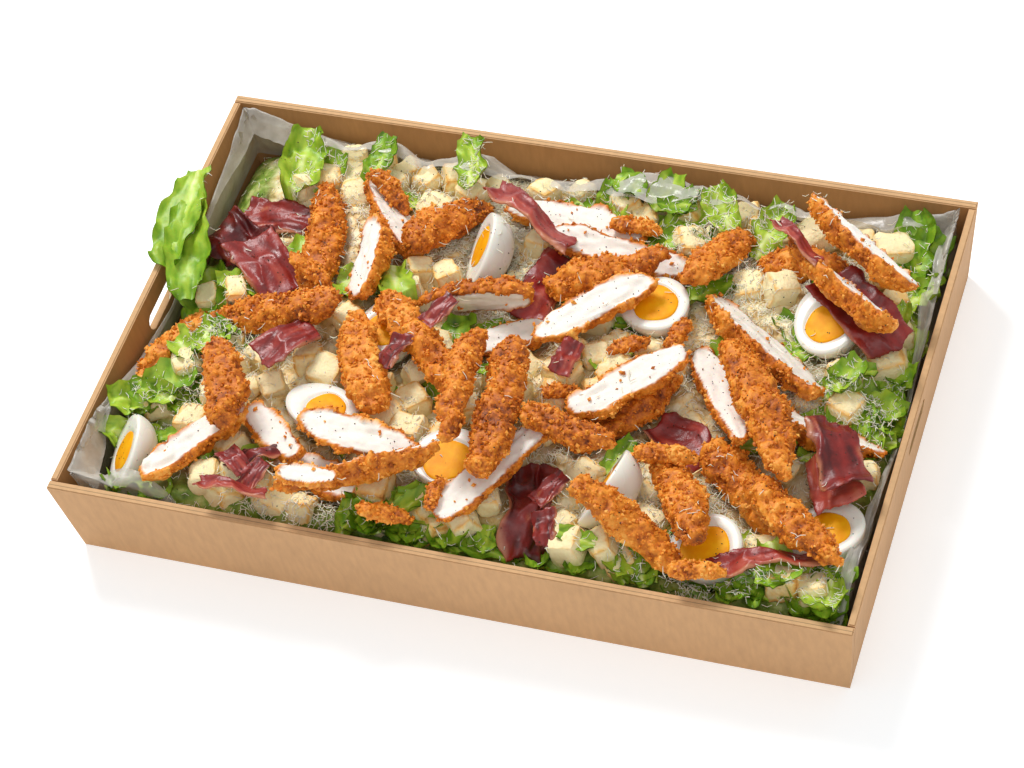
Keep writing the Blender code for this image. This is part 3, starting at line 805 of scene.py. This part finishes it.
def placeLeaf(points, x, y, heading, tilt, height, overhangs):
    turn = Matrix.Rotation(math.radians(heading), 3, "Z") @ Matrix.Rotation(math.radians(tilt), 3, "X")
    points = points @ np.array(turn).T
    points += (x, y, height)
    reach = np.array([cadBox[1][0] - tray["endWall"], cadBox[1][1] - tray["longWall"]])
    reach = reach - tray["lean"] * 0.25 - 0.0015
    # A leaf stays under the toppings and inside the walls until it is over the rim.
    if overhangs:
        past = softStep(abs(points[:, 0]) - reach[0], -0.004, 0.002)
        overRim = tray["height"] + 0.0025 + 0.3 * (points[:, 2] - 0.07)
        points[:, 2] += past * np.maximum(overRim - points[:, 2], 0)
    else:
        pullIn(points, reach)
        low = toppingLow[mapCell(points)]
        points[:, 2] = np.where(low < 0.9, np.minimum(points[:, 2], low - 0.0012), points[:, 2])
    over = softStep(points[:, 2], tray["height"] + 0.001, tray["height"] + 0.002)
    for axis in (0, 1):
        inside = np.clip(points[:, axis], -reach[axis], reach[axis])
        points[:, axis] = inside + (points[:, axis] - inside) * over
    return points


def thicken(points, faces, thick):
    normals = pointNormals(points, faces)
    count = len(points)
    both = np.concatenate([points + normals * thick / 2, points - normals * thick / 2])
    return both, np.concatenate([faces, faces[:, ::-1] + count])


def makeLeaves():
    material = leafMaterial()
    parts, tones = [], []
    rows = [
        (*(0.001 * n for n in row[:4]), row[4], 0.001 * row[5], row[6], leaf["steps"])
        for row in leaf["rows"]
    ]
    ground = saladTop.copy()
    while len(rows) < len(leaf["rows"]) + leaf["scraps"]:
        if dice.random() < 0.16:
            x, y = dice.uniform(-0.24, 0.24), dice.uniform(-0.15, 0.12)
        else:
            middleX, middleY, spread = leaf["clusters"][dice.integers(len(leaf["clusters"]))]
            x, y = 0.001 * dice.normal((middleX, middleY), spread / 2)
        if abs(x) > leaf["reach"][0] or abs(y) > leaf["reach"][1]:
            continue
        if (toppingLow - saladTop)[cellOf(x, y)][0] < 0.012 and dice.random() < 0.8:
            continue
        size = dice.uniform(0.018, 0.040)
        width, heading = size * dice.uniform(0.6, 1.0), dice.uniform(0, 360)
        rows.append((x, y, size, width, heading, dice.uniform(0.002, 0.009), 1.1, leaf["scrapSteps"]))
    for number, (x, y, length, width, heading, rise, ruffle, steps) in enumerate(rows):
        points, faces, tone = leafShape(length, width, rise, ruffle, number + 1, steps)
        lift = dice.uniform(0.003, 0.008) if steps == leaf["steps"] else dice.uniform(0.0005, 0.003)
        lift += ground[cellOf(x, y)][0]
        if number in leaf["overhang"]:
            lift = tray["height"] + 0.006
        points = placeLeaf(points, x, y, heading, dice.uniform(-12, 12), lift, number in leaf["overhang"])
        parts.append(thicken(points, faces, leaf["thick"]))
        tones.append(np.tile(tone + dice.uniform(-0.12, 0.12), 2))
        tops = np.where(insideTray(points, 0.002), points[:, 2] - 0.001, 0)
        np.maximum.at(saladTop, mapCell(points), tops)
        leafCover[mapCell(points)] = True
    points, faces = joined(parts)
    values = {"tone": np.concatenate(tones)}
    makePiece("lettuceLeaves", points, faces, [material], values=values)
    print("leaves", 2 * len(faces))


crouton = {
    "steps": 7,
    "more": 130,
    "moreSize": (0.018, 0.030),
    "wallGap": (0.0145, 0.016),
    # x, y, size in millimetres, seen one by one; more are strewn at random
    "rows": [
        (-250, 75, 20), (-216, 9, 22), (-203, 66, 20), (-208, 136, 22), (-98, 112, 34), (-20, 62, 20),
        (18, 72, 20), (132, 22, 24), (156, 104, 20), (256, 42, 32), (222, 20, 22), (-226, -60, 28),
        (-192, -58, 22), (-206, -104, 20), (-165, -176, 20), (-57, -62, 22), (-35, -112, 24),
        (-46, -170, 22), (172, -108, 34), (132, -34, 24), (256, -50, 22), (-52, -88, 26), (-70, -75, 24),
        (-30, -80, 24), (-175, -38, 28), (-200, -34, 22), (62, 108, 20), (110, 10, 24), (140, -70, 26),
        (118, -100, 24), (-156, -174, 20), (-128, -176, 26), (-104, -174, 22), (-84, -177, 22),
        (-30, -178, 22), (-10, -176, 22), (118, -176, 22), (226, -150, 22), (60, -178, 20),
        (160, -160, 22), (-14, 92, 20), (-240, 8, 20), (230, -2, 24), (204, 0, 22), (84, -70, 22),
    ],
    "colours": [(0.16, (0.58, 0.20, 0.025)), (0.38, (0.94, 0.57, 0.16)), (0.62, (1.0, 0.86, 0.50))],
}


def croutonMaterial():
    made, tree, shader = startMaterial(
        "toastedBread", {"Roughness": 0.7, "Subsurface Weight": 0.1, "Subsurface Scale": 0.002}
    )
    tone = addMottle(tree, 180, 4, 0.5)
    tree.links.new(addRamp(tree, tone, crouton["colours"]), shader.inputs["Base Color"])
    addBump(tree, shader, addNoise(tree, 500, 4), 0.0012, 0.7)
    return made


def cubeShape(steps):
    side = np.linspace(-1, 1, steps)
    a, b = (m.ravel() for m in np.meshgrid(side, side, indexing="ij"))
    quads = gridFaces(steps, steps)
    parts = []
    for axis, sign in itertools.product(range(3), (-1, 1)):
        points = np.zeros((len(a), 3))
        points[:, axis] = sign
        points[:, (axis + 1) % 3], points[:, (axis + 2) % 3] = a, b
        parts.append((points, quads if sign > 0 else quads[:, ::-1]))
    return joined(parts)


def makeCroutons():
    cubePoints, cubeFaces = cubeShape(crouton["steps"])
    rounded = cubePoints / np.linalg.norm(np.abs(cubePoints) ** 5, axis=1, ord=1)[:, None] ** (1 / 5)
    edge = np.sort(np.abs(cubePoints), axis=1)[:, 1]
    parts, tones = [], []
    rows = [tuple(0.001 * n for n in row) for row in crouton["rows"]]
    tries = 0
    while len(rows) < len(crouton["rows"]) + crouton["more"] and tries < 6000:
        x, y = dice.uniform(-0.25, 0.25), dice.uniform(-0.162, 0.160)
        size = dice.uniform(*crouton["moreSize"])
        around = np.array([[x + dx, y + dy, 0.0] for dx in (-0.008, 0, 0.008) for dy in (-0.008, 0, 0.008)])
        crowd = min(math.hypot(x - r[0], y - r[1]) - (size + r[2]) / 2 for r in rows)
        isBare = x < bareCorner[0] and y > bareCorner[1] or x < -0.245 and abs(y + 0.01) < 0.05
        room = (toppingLow - saladTop)[mapCell(around)].min()
        if room > 0.6 * size and crowd > -0.0025 and dice.random() > leafiness(x, y) and not isBare:
            rows.append((x, y, size))
        tries += 1
    for number, (x, y, size) in enumerate(rows):
        turn = Matrix.Rotation(dice.uniform(0, 6.3), 3, "Z")
        turn = np.array(turn @ Matrix.Rotation(dice.uniform(-0.5, 0.5), 3, "X"))
        points = rounded * (size * 0.5 * dice.uniform(0.72, 1.08, 3)) @ turn.T
        relief = cellNoise(points, 0.007, number, 2) * 0.0024
        relief += cellNoise(points, 0.0026, number + 70, 1) * 0.0011
        points = points + unitRows(points) * relief[:, None]
        points += (x, y, saladTop[cellOf(x, y)][0] + size * 0.27)
        pullIn(points, np.array(cadBox[1][:2]) - crouton["wallGap"])
        # Under a topping it is sunk whole, not squashed.
        low = toppingLow[mapCell(points)]
        sunk = max(0.0, np.quantile(points[:, 2] - low, 0.97))
        if sunk > 0.75 * size:
            continue
        points[:, 2] -= sunk
        points[:, 2] = np.where(low < 0.9, np.minimum(points[:, 2], low - 0.0005), points[:, 2])
        parts.append((points, cubeFaces))
        tone = 0.66 - 0.24 * softStep(edge, 0.80, 1.0) + 0.14 * cellNoise(points, 0.012, number)
        tones.append(tone + dice.uniform(-0.12, 0.1))
        np.maximum.at(saladTop, mapCell(points), points[:, 2])
    points, faces = joined(parts)
    values = {"tone": np.concatenate(tones)}
    makePiece("croutons", points, faces, [croutonMaterial()], values=values)
    print("croutons", len(parts), len(faces) * 2)


cheese = {
    "shreds": 15500,
    "length": (0.0028, 0.0070),
    "thick": 0.00037,
    "steep": 0.012,
    "reach": (0.266, 0.172),
    "colour": (0.98, 0.92, 0.74),
    # x, y, spread in millimetres: where it lies thickest
    "heaps": [
        (-40, -85, 32), (225, -5, 26), (-185, -40, 26), (-100, 118, 34), (-30, 128, 40),
        (100, 128, 45), (170, 118, 40), (-200, 130, 30), (-60, 95, 30), (150, -100, 26),
        (90, 5, 22), (-20, 40, 24), (-205, -60, 22), (250, -150, 30), (180, -150, 30),
        (-228, -34, 18), (216, -22, 26), (-232, -84, 20), (240, 20, 24), (30, -60, 24),
        (120, -130, 24), (-110, -176, 30),
    ],
}


def makeCheese():
    count = cheese["shreds"] * 10
    x, y = (dice.uniform(-reach, reach, count) for reach in cheese["reach"])
    share = np.full(count, 0.35)
    for heap in cheese["heaps"]:
        heapX, heapY, spread = (n * 0.001 for n in heap)
        share += 2.2 * np.exp(-((x - heapX) ** 2 + (y - heapY) ** 2) / (2 * spread**2))
    cells = mapCell(flatPoints(x, y))
    onTopping = toppingTop[cells] > 0
    isUnder = onTopping & (toppingLow[cells] - saladTop[cells] > 0.0035) & (dice.random(count) < 0.9)
    onTopping &= ~isUnder
    share *= np.where(onTopping, 0.035, 1.0)
    share *= np.where(leafCover[cells], 0.55, 1.0)
    share *= np.where((x < bareCorner[0]) & (y > bareCorner[1]), 0.1, 1.0)
    # Hardly any on a steep step, where it would stick out.
    steps = itertools.product((-grid["cell"], grid["cell"]), repeat=2)
    near = [surfaceAt(flatPoints(x + dx, y + dy), isUnder) for dx, dy in steps]
    share *= np.where(np.ptp(near, axis=0) < cheese["steep"], 1.0, 0.02)
    keep = np.argsort(-share / dice.random(count))[: cheese["shreds"]]
    x, y, isUnder = x[keep], y[keep], isUnder[keep]
    heading = dice.uniform(0, math.pi, len(x))
    half = dice.uniform(*cheese["length"], len(x)) / 2
    bow = dice.uniform(-0.3, 0.3, len(x)) * half
    along = np.stack([np.cos(heading), np.sin(heading)], axis=1)
    side = np.stack([-along[:, 1], along[:, 0]], axis=1)
    middle = np.stack([x, y], axis=1)
    stations = []
    lift = dice.uniform(0.0002, 0.0014, len(x))
    for t in (-1.0, 0.0, 1.0):
        flat = middle + along * (half * t)[:, None] + side * (bow * (1 - t * t))[:, None]
        stations.append(np.concatenate([flat, (surfaceAt(flat, isUnder) + lift)[:, None]], axis=1))
    # A shred can't hang down a steep step: its ends stay within 4 mm of its highest point.
    heights = np.stack([s[:, 2] for s in stations])
    heights = np.maximum(heights, heights.max(axis=0) - dice.uniform(0.0012, 0.004, len(x)))
    points = np.empty((len(x), 3, 3, 3))
    for index, station in enumerate(stations):
        station[:, 2] = heights[index]
        for corner in range(3):
            angle = corner * 2 * math.pi / 3
            thick = cheese["thick"] * (1.0 if index == 1 else 0.7)
            points[:, index, corner] = station
            points[:, index, corner, :2] += side * thick * math.cos(angle)
            points[:, index, corner, 2] += thick * math.sin(angle)
    faces = (ringFaces(3, 3)[None] + 9 * np.arange(len(x))[:, None, None]).reshape(-1, 4)
    made, tree, shader = startMaterial(
        "gratedCheese", {"Roughness": 0.55, "Subsurface Weight": 0.15, "Subsurface Scale": 0.0012}
    )
    colour = addMix(tree, addNoise(tree, 90, 2), toned(cheese["colour"], 0.9), cheese["colour"])
    tree.links.new(colour, shader.inputs["Base Color"])
    makePiece("gratedCheese", points.reshape(-1, 3), faces, [made])
    print("grated cheese", 2 * len(faces))


pepper = {
    "count": 2300,
    "size": (0.00030, 0.00085),
    "reach": (0.262, 0.168),
    "colour": (0.035, 0.022, 0.015),
}


def makePepper():
    count = pepper["count"]
    places = flatPoints(*(dice.uniform(-reach, reach, count) for reach in pepper["reach"]))
    places[:, 2] = surfaceAt(places)
    size = dice.uniform(*pepper["size"], size=(count, 1)) * dice.uniform(0.6, 1.0, size=(count, 3))
    points, faces = scatter(*octahedron, places, size, turnMatrices(count))
    made, tree, shader = startMaterial("groundPepper", {"Roughness": 0.7})
    colour = addMix(tree, addNoise(tree, 900, 1), pepper["colour"], toned(pepper["colour"], 2.4))
    tree.links.new(colour, shader.inputs["Base Color"])
    makePiece("groundPepper", points, faces, [made], smooth=False)
    print("pepper", len(faces))


# Smaller pieces, each let down on what lies there: source, x, y, heading, size factor
bits = {
    "baconBits": [
        ("bacon_05", -143, -140, 40, 0.5), ("bacon_02", -136, -158, 70, 0.5),
        ("bacon_07", -150, -150, -30, 0.4), ("bacon_06", -146, -170, 2, 0.6),
        ("bacon_02", -52, -6, 60, 0.5), ("bacon_09", -72, -44, 80, 0.5),
        ("bacon_04", 42, -18, 80, 0.5), ("bacon_06", 176, 92, -38, 0.6),
        ("bacon_07", -152, -46, 60, 0.75), ("bacon_06", -20, 98, -30, 1.0),
        ("bacon_02", 58, -116, 60, 0.5), ("bacon_09", 66, -150, 110, 0.5),
    ],
    "chickenBits": [
        ("chicken_strip_07", -162, 26, -20, 0.50), ("chicken_strip_09", 50, 116, 5, 0.45),
        ("chicken_strip_14", 62, -84, -12, 0.75), ("chicken_strip_06", 78, 6, 30, 0.40),
        ("chicken_strip_06", 108, 22, 80, 0.42), ("chicken_strip_09", 174, -168, 15, 0.45),
        ("chicken_strip_13", 44, -42, 30, 0.35), ("chicken_strip_06", -8, -150, 90, 0.35),
        ("chicken_strip_07", -40, -166, 10, 0.5), ("chicken_strip_09", 130, -84, 10, 0.5),
        ("chicken_strip_13", -132, 112, -35, 0.5), ("chicken_slice_03", -90, -164, 5, 0.7),
    ],
}


def copyBit(points, x, y, heading, size):
    middle = points.mean(axis=0)
    turn = np.array(Matrix.Rotation(math.radians(heading), 3, "Z"))
    long = np.linalg.svd(points[::7] - middle, full_matrices=False)[2][0]
    straight = np.array(Matrix.Rotation(-math.atan2(long[1], long[0]), 3, "Z"))
    points = (points - middle) * size @ straight.T @ turn.T
    points[:, :2] += (0.001 * x, 0.001 * y)
    # It comes down until its first few points touch.
    rise = np.quantile(surfaceAt(points) - points[:, 2], 0.985)
    points[:, 2] += rise - 0.001
    return points


def makeBits(name, detailed, material):
    parts, values = [], {}
    for source, x, y, heading, size in bits[name]:
        points, faces, own = detailed[source][:3]
        points = copyBit(points, x, y, heading, size)
        parts.append((points, faces))
        for key, value in own.items():
            values.setdefault(key, []).append(value)
        np.maximum.at(toppingTop, mapCell(points), points[:, 2])
    points, faces = joined(parts)
    values = {key: np.concatenate(value) for key, value in values.items()}
    makePiece(name, points, faces, [material], values=values)
    print(name, 2 * len(faces))
    return points, faces, values, pointNormals(points, faces)


# Film liner
film = {
    "stations": 760,
    "rows": (9, 12),
    "foot": 0.026,
    "wallGap": 0.0014,
    "edgeGap": 0.0026,
    "crumple": 0.0034,
    "colour": (0.72, 0.68, 0.61),
    "clear": 0.71,
    # height of the edge and fold inwards, anticlockwise from the back right corner
    "back": [
        (0.072, 0.014), (0.050, 0.024), (0.046, 0.030), (0.047, 0.026), (0.045, 0.030), (0.050, 0.026),
        (0.070, 0.014),
    ],
    "left": [
        (0.070, 0.012), (0.058, 0.006), (0.048, 0.004), (0.042, 0.002), (0.052, 0.005), (0.071, 0.008),
        (0.074, 0.018),
    ],
    "front": [
        (0.074, 0.022), (0.048, 0.003), (0.032, 0.001), (0.030, 0.001), (0.030, 0.001), (0.034, 0.001),
        (0.054, 0.006),
    ],
    "right": [
        (0.058, 0.006), (0.058, 0.008), (0.056, 0.006), (0.043, 0.003), (0.058, 0.007), (0.066, 0.010),
        (0.075, 0.014),
    ],
}


# Round the inside of the walls: (places, outward directions, distances, each corner's distance, whole).
def trayOutline(count):
    halfX = cadBox[1][0] - tray["endWall"]
    halfY = cadBox[1][1] - tray["longWall"]
    radius = tray["corner"]
    corners = [
        (halfX - radius, halfY - radius),
        (radius - halfX, halfY - radius),
        (radius - halfX, radius - halfY),
        (halfX - radius, radius - halfY),
    ]
    path = []
    for quarter, (cx, cy) in enumerate(corners):
        for step in range(9):
            angle = (quarter + step / 8) * math.pi / 2
            outX, outY = math.cos(angle), math.sin(angle)
            path.append((cx + radius * outX, cy + radius * outY, outX, outY))
    path.append(path[0])
    path = np.array(path)
    travel = np.concatenate([[0], np.cumsum(np.hypot(*np.diff(path[:, :2], axis=0).T))])
    spots = np.linspace(0, travel[-1], count, endpoint=False)
    values = np.stack([np.interp(spots, travel, path[:, k]) for k in range(4)], axis=1)
    marks = [travel[9 * k + 4] if k < 4 else travel[-1] + travel[4] for k in range(5)]
    return values[:, :2], values[:, 2:], spots, marks, travel[-1]


# The height of the film's edge and the width of its fold at each spot round the tray.
def filmEdge(spots, marks, whole):
    known, heights, folds = [], [], []
    for quarter, side in enumerate(("back", "left", "front", "right")):
        span = marks[quarter + 1] - marks[quarter]
        for step, (height, fold) in enumerate(film[side]):
            known.append(marks[quarter] + span * (step + 0.03) / (len(film[side]) - 0.94))
            heights.append(height)
            folds.append(fold)
    known = np.array(known) % whole
    order = np.argsort(known)
    return (np.interp(spots, known[order], np.array(n)[order], period=whole) for n in (heights, folds))


def makeFilm():
    count = film["stations"]
    places, outward, spots, marks, whole = trayOutline(count)
    outward = unitRows(outward)
    edge, fold = filmEdge(spots, marks, whole)
    jitter = cellNoise(flatPoints(*places.T), 0.040, 5, 2)
    edge = edge + 0.0035 * jitter * softStep(abs(places[:, 1]), 0.0, 0.06)
    # High edges, at the corners, are bunched up; low ones run smooth.
    bunch = softStep(edge, 0.052, 0.068)
    fold = fold * (1 + 0.5 * cellNoise(flatPoints(*places.T, 1), 0.03, 6, 2))
    rings = []
    wallRows, foldRows = film["rows"]
    for row in range(wallRows):
        height = film["foot"] + (edge - film["foot"]) * row / (wallRows - 1)
        lean = tray["lean"] * (1 - height / tray["height"])
        inset = lean + film["wallGap"] + 0.0012 * (row / wallRows)
        rings.append(np.concatenate([places - outward * inset[:, None], height[:, None]], axis=1))
    for row in range(1, foldRows + 1):
        share = row / foldRows
        inset = tray["lean"] * (1 - edge / tray["height"]) + film["edgeGap"] + fold * share
        flat = places - outward * inset[:, None]
        height = edge - (edge - np.minimum(edge, 0.054)) * softStep(share, 0.0, 1.0)
        height += 0.002 * math.sin(math.pi * share)
        ring = np.concatenate([flat, height[:, None]], axis=1)
        shifts = grid["cell"] * np.array([(0, 0, 0), (1, 0, 0), (-1, 0, 0), (0, 1, 0), (0, -1, 0)])
        floor = np.max([surfaceAt(ring + shift) for shift in shifts], axis=0)
        # The surface under it is evened out along the wall.
        floor = np.concatenate([floor[-8:], floor, floor[:8]])
        floor = np.convolve(floor, np.full(17, 1 / 17), mode="valid")
        climb = np.maximum(np.minimum(floor + 0.0015, 0.078) - height, 0)
        ring[:, 2] = height + climb * softStep(fold, 0.004, 0.011)
        rings.append(ring)
    points = np.concatenate(rings)
    total = len(rings)
    faces = ringFaces(total, count)
    ridge = 1 - 2 * abs(cellNoise(points, 0.026, 11, 2))
    sharp = 1 - 2 * abs(cellNoise(points, 0.010, 12, 2))
    shares = np.repeat(np.arange(total) / total, count)
    loose = np.tile(0.4 + 0.6 * bunch, total) * softStep(shares, 0.0, 0.25)
    shift = film["crumple"] * (0.7 * ridge + 0.5 * np.tile(bunch, total) * sharp + 0.9) * loose
    # Creases stand away from the wall and the food, never into them.
    inwards = np.concatenate([-np.tile(outward, (total, 1)), np.zeros((len(points), 1))], axis=1)
    isFold = (shares > wallRows / total)[:, None]
    points = points + np.where(isFold, np.array([0, 0, 1.0]), inwards) * shift[:, None]
    glossy = {"Roughness": 0.22, "Specular IOR Level": 0.6, "Base Color": (*film["colour"], 1.0)}
    made, tree, shader = startMaterial("clearFilm", glossy)
    cloud = addScaled(tree, addNoise(tree, 70, 3), 0.5, 1 - film["clear"] - 0.16)
    glancing = addNode(tree, "ShaderNodeLayerWeight", inputs={"Blend": 0.35}).outputs["Facing"]
    tree.links.new(addScaled(tree, glancing, 0.45, cloud), shader.inputs["Alpha"])
    addBump(tree, shader, addNoise(tree, 90, 3), 0.002, 0.5)
    makePiece("filmLiner", points, faces, [made], nodes=("film_liner",))
    print("film", 2 * len(faces))


def numberedNodes(start):
    return enumerate(sorted(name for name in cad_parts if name.startswith(start)), 1)


def buildFood():
    dressTray()
    crumbed = chickenMaterial()
    detailed, crusts = {}, []
    for number, name in numberedNodes("chicken"):
        points, faces, values, normals = chickenPiece(name, number)
        piece = name.replace("chicken_", "").replace("_", "")
        makePiece(piece, points, faces, [crumbed], nodes=(name,), values=values)
        detailed[name] = (points, faces, values, normals)
        crusts.append(detailed[name])
    print("chicken", sum(2 * len(c[1]) for c in crusts))
    cured = baconMaterial()
    for number, name in numberedNodes("bacon"):
        points, faces, values = baconPiece(name, number)
        makePiece(name.replace("_", ""), points, faces, [cured], nodes=(name,), values=values)
        detailed[name] = (points, faces, values)
    whiteAndYolk = eggMaterials()
    for number, name in numberedNodes("egg"):
        points, faces, kinds = eggPiece(name, number)
        piece = name.replace("_", "")
        makePiece(piece, points, faces, whiteAndYolk, nodes=(name,), faceMaterial=kinds)
        detailed[name] = (points, faces)
    for shape in detailed.values():
        cells = mapCell(shape[0])
        np.maximum.at(toppingTop, cells, shape[0][:, 2])
        np.minimum.at(toppingLow, cells, shape[0][:, 2])
    print("bacon and eggs done")
    makeCore()
    makeCroutons()
    makeLeaves()
    makeBits("baconBits", detailed, cured)
    crusts.append(makeBits("chickenBits", detailed, crumbed))
    makeCrumbs(crusts, crumbed)
    makeCheese()
    makePepper()
    makeFilm()


# Floor, lights, camera
studio = {
    "floor": (0.89, 0.93, 0.955),
    "glow": 0.37,
    "world": 0.54,
    "key": {"place": (-1.3, 1.5, 2.6), "size": 1.0, "power": 80.0},
    "fill": {"place": (1.0, -1.6, 2.4), "size": 2.2, "power": 15.0},
    "camera": {
        "place": (0.6081, -1.2106, 1.6992),
        "forward": (-0.26632, 0.56765, -0.779),
        "up": (-0.15777, 0.77162, 0.61621),
        "lens": 108.35,
        "shift": -0.067,
    },
}


def makeStudio():
    mesh = bpy.data.meshes.new("floor")
    mesh.from_pydata([(-9, -9, 0), (9, -9, 0), (9, 9, 0), (-9, 9, 0)], [], [(0, 1, 2, 3)])
    pale = {"Base Color": (*studio["floor"], 1.0), "Roughness": 0.9, "Specular IOR Level": 0.1}
    pale |= {"Emission Color": (1.0, 1.0, 1.0, 1.0), "Emission Strength": studio["glow"]}
    mesh.materials.append(startMaterial("paleFloor", pale)[0])
    floor = bpy.data.objects.new("floor", mesh)
    bpy.context.scene.collection.objects.link(floor)
    world = bpy.data.worlds.new("studio")
    world.use_nodes = True
    background = world.node_tree.nodes["Background"]
    background.inputs["Color"].default_value = (1.0, 1.0, 1.0, 1.0)
    background.inputs["Strength"].default_value = studio["world"]
    bpy.context.scene.world = world
    for name in ("key", "fill"):
        light = bpy.data.lights.new(name, "AREA")
        light.size, light.energy = studio[name]["size"], studio[name]["power"]
        lamp = bpy.data.objects.new(name, light)
        lamp.location = studio[name]["place"]
        lamp.rotation_euler = (-lamp.location).to_track_quat("-Z", "Y").to_euler()
        bpy.context.scene.collection.objects.link(lamp)
    data = bpy.data.cameras.new("camera")
    data.lens, data.shift_x = studio["camera"]["lens"], studio["camera"]["shift"]
    camera = bpy.data.objects.new("camera", data)
    forward = Vector(studio["camera"]["forward"]).normalized()
    up = Vector(studio["camera"]["up"])
    right = forward.cross(up).normalized()
    turn = Matrix((right, right.cross(forward), -forward)).transposed()
    camera.matrix_world = Matrix.Translation(studio["camera"]["place"]) @ turn.to_4x4()
    bpy.context.scene.collection.objects.link(camera)
    bpy.context.scene.camera = camera
    bpy.context.scene.view_settings.view_transform = "Standard"
    print("studio")


buildFood()
makeStudio()
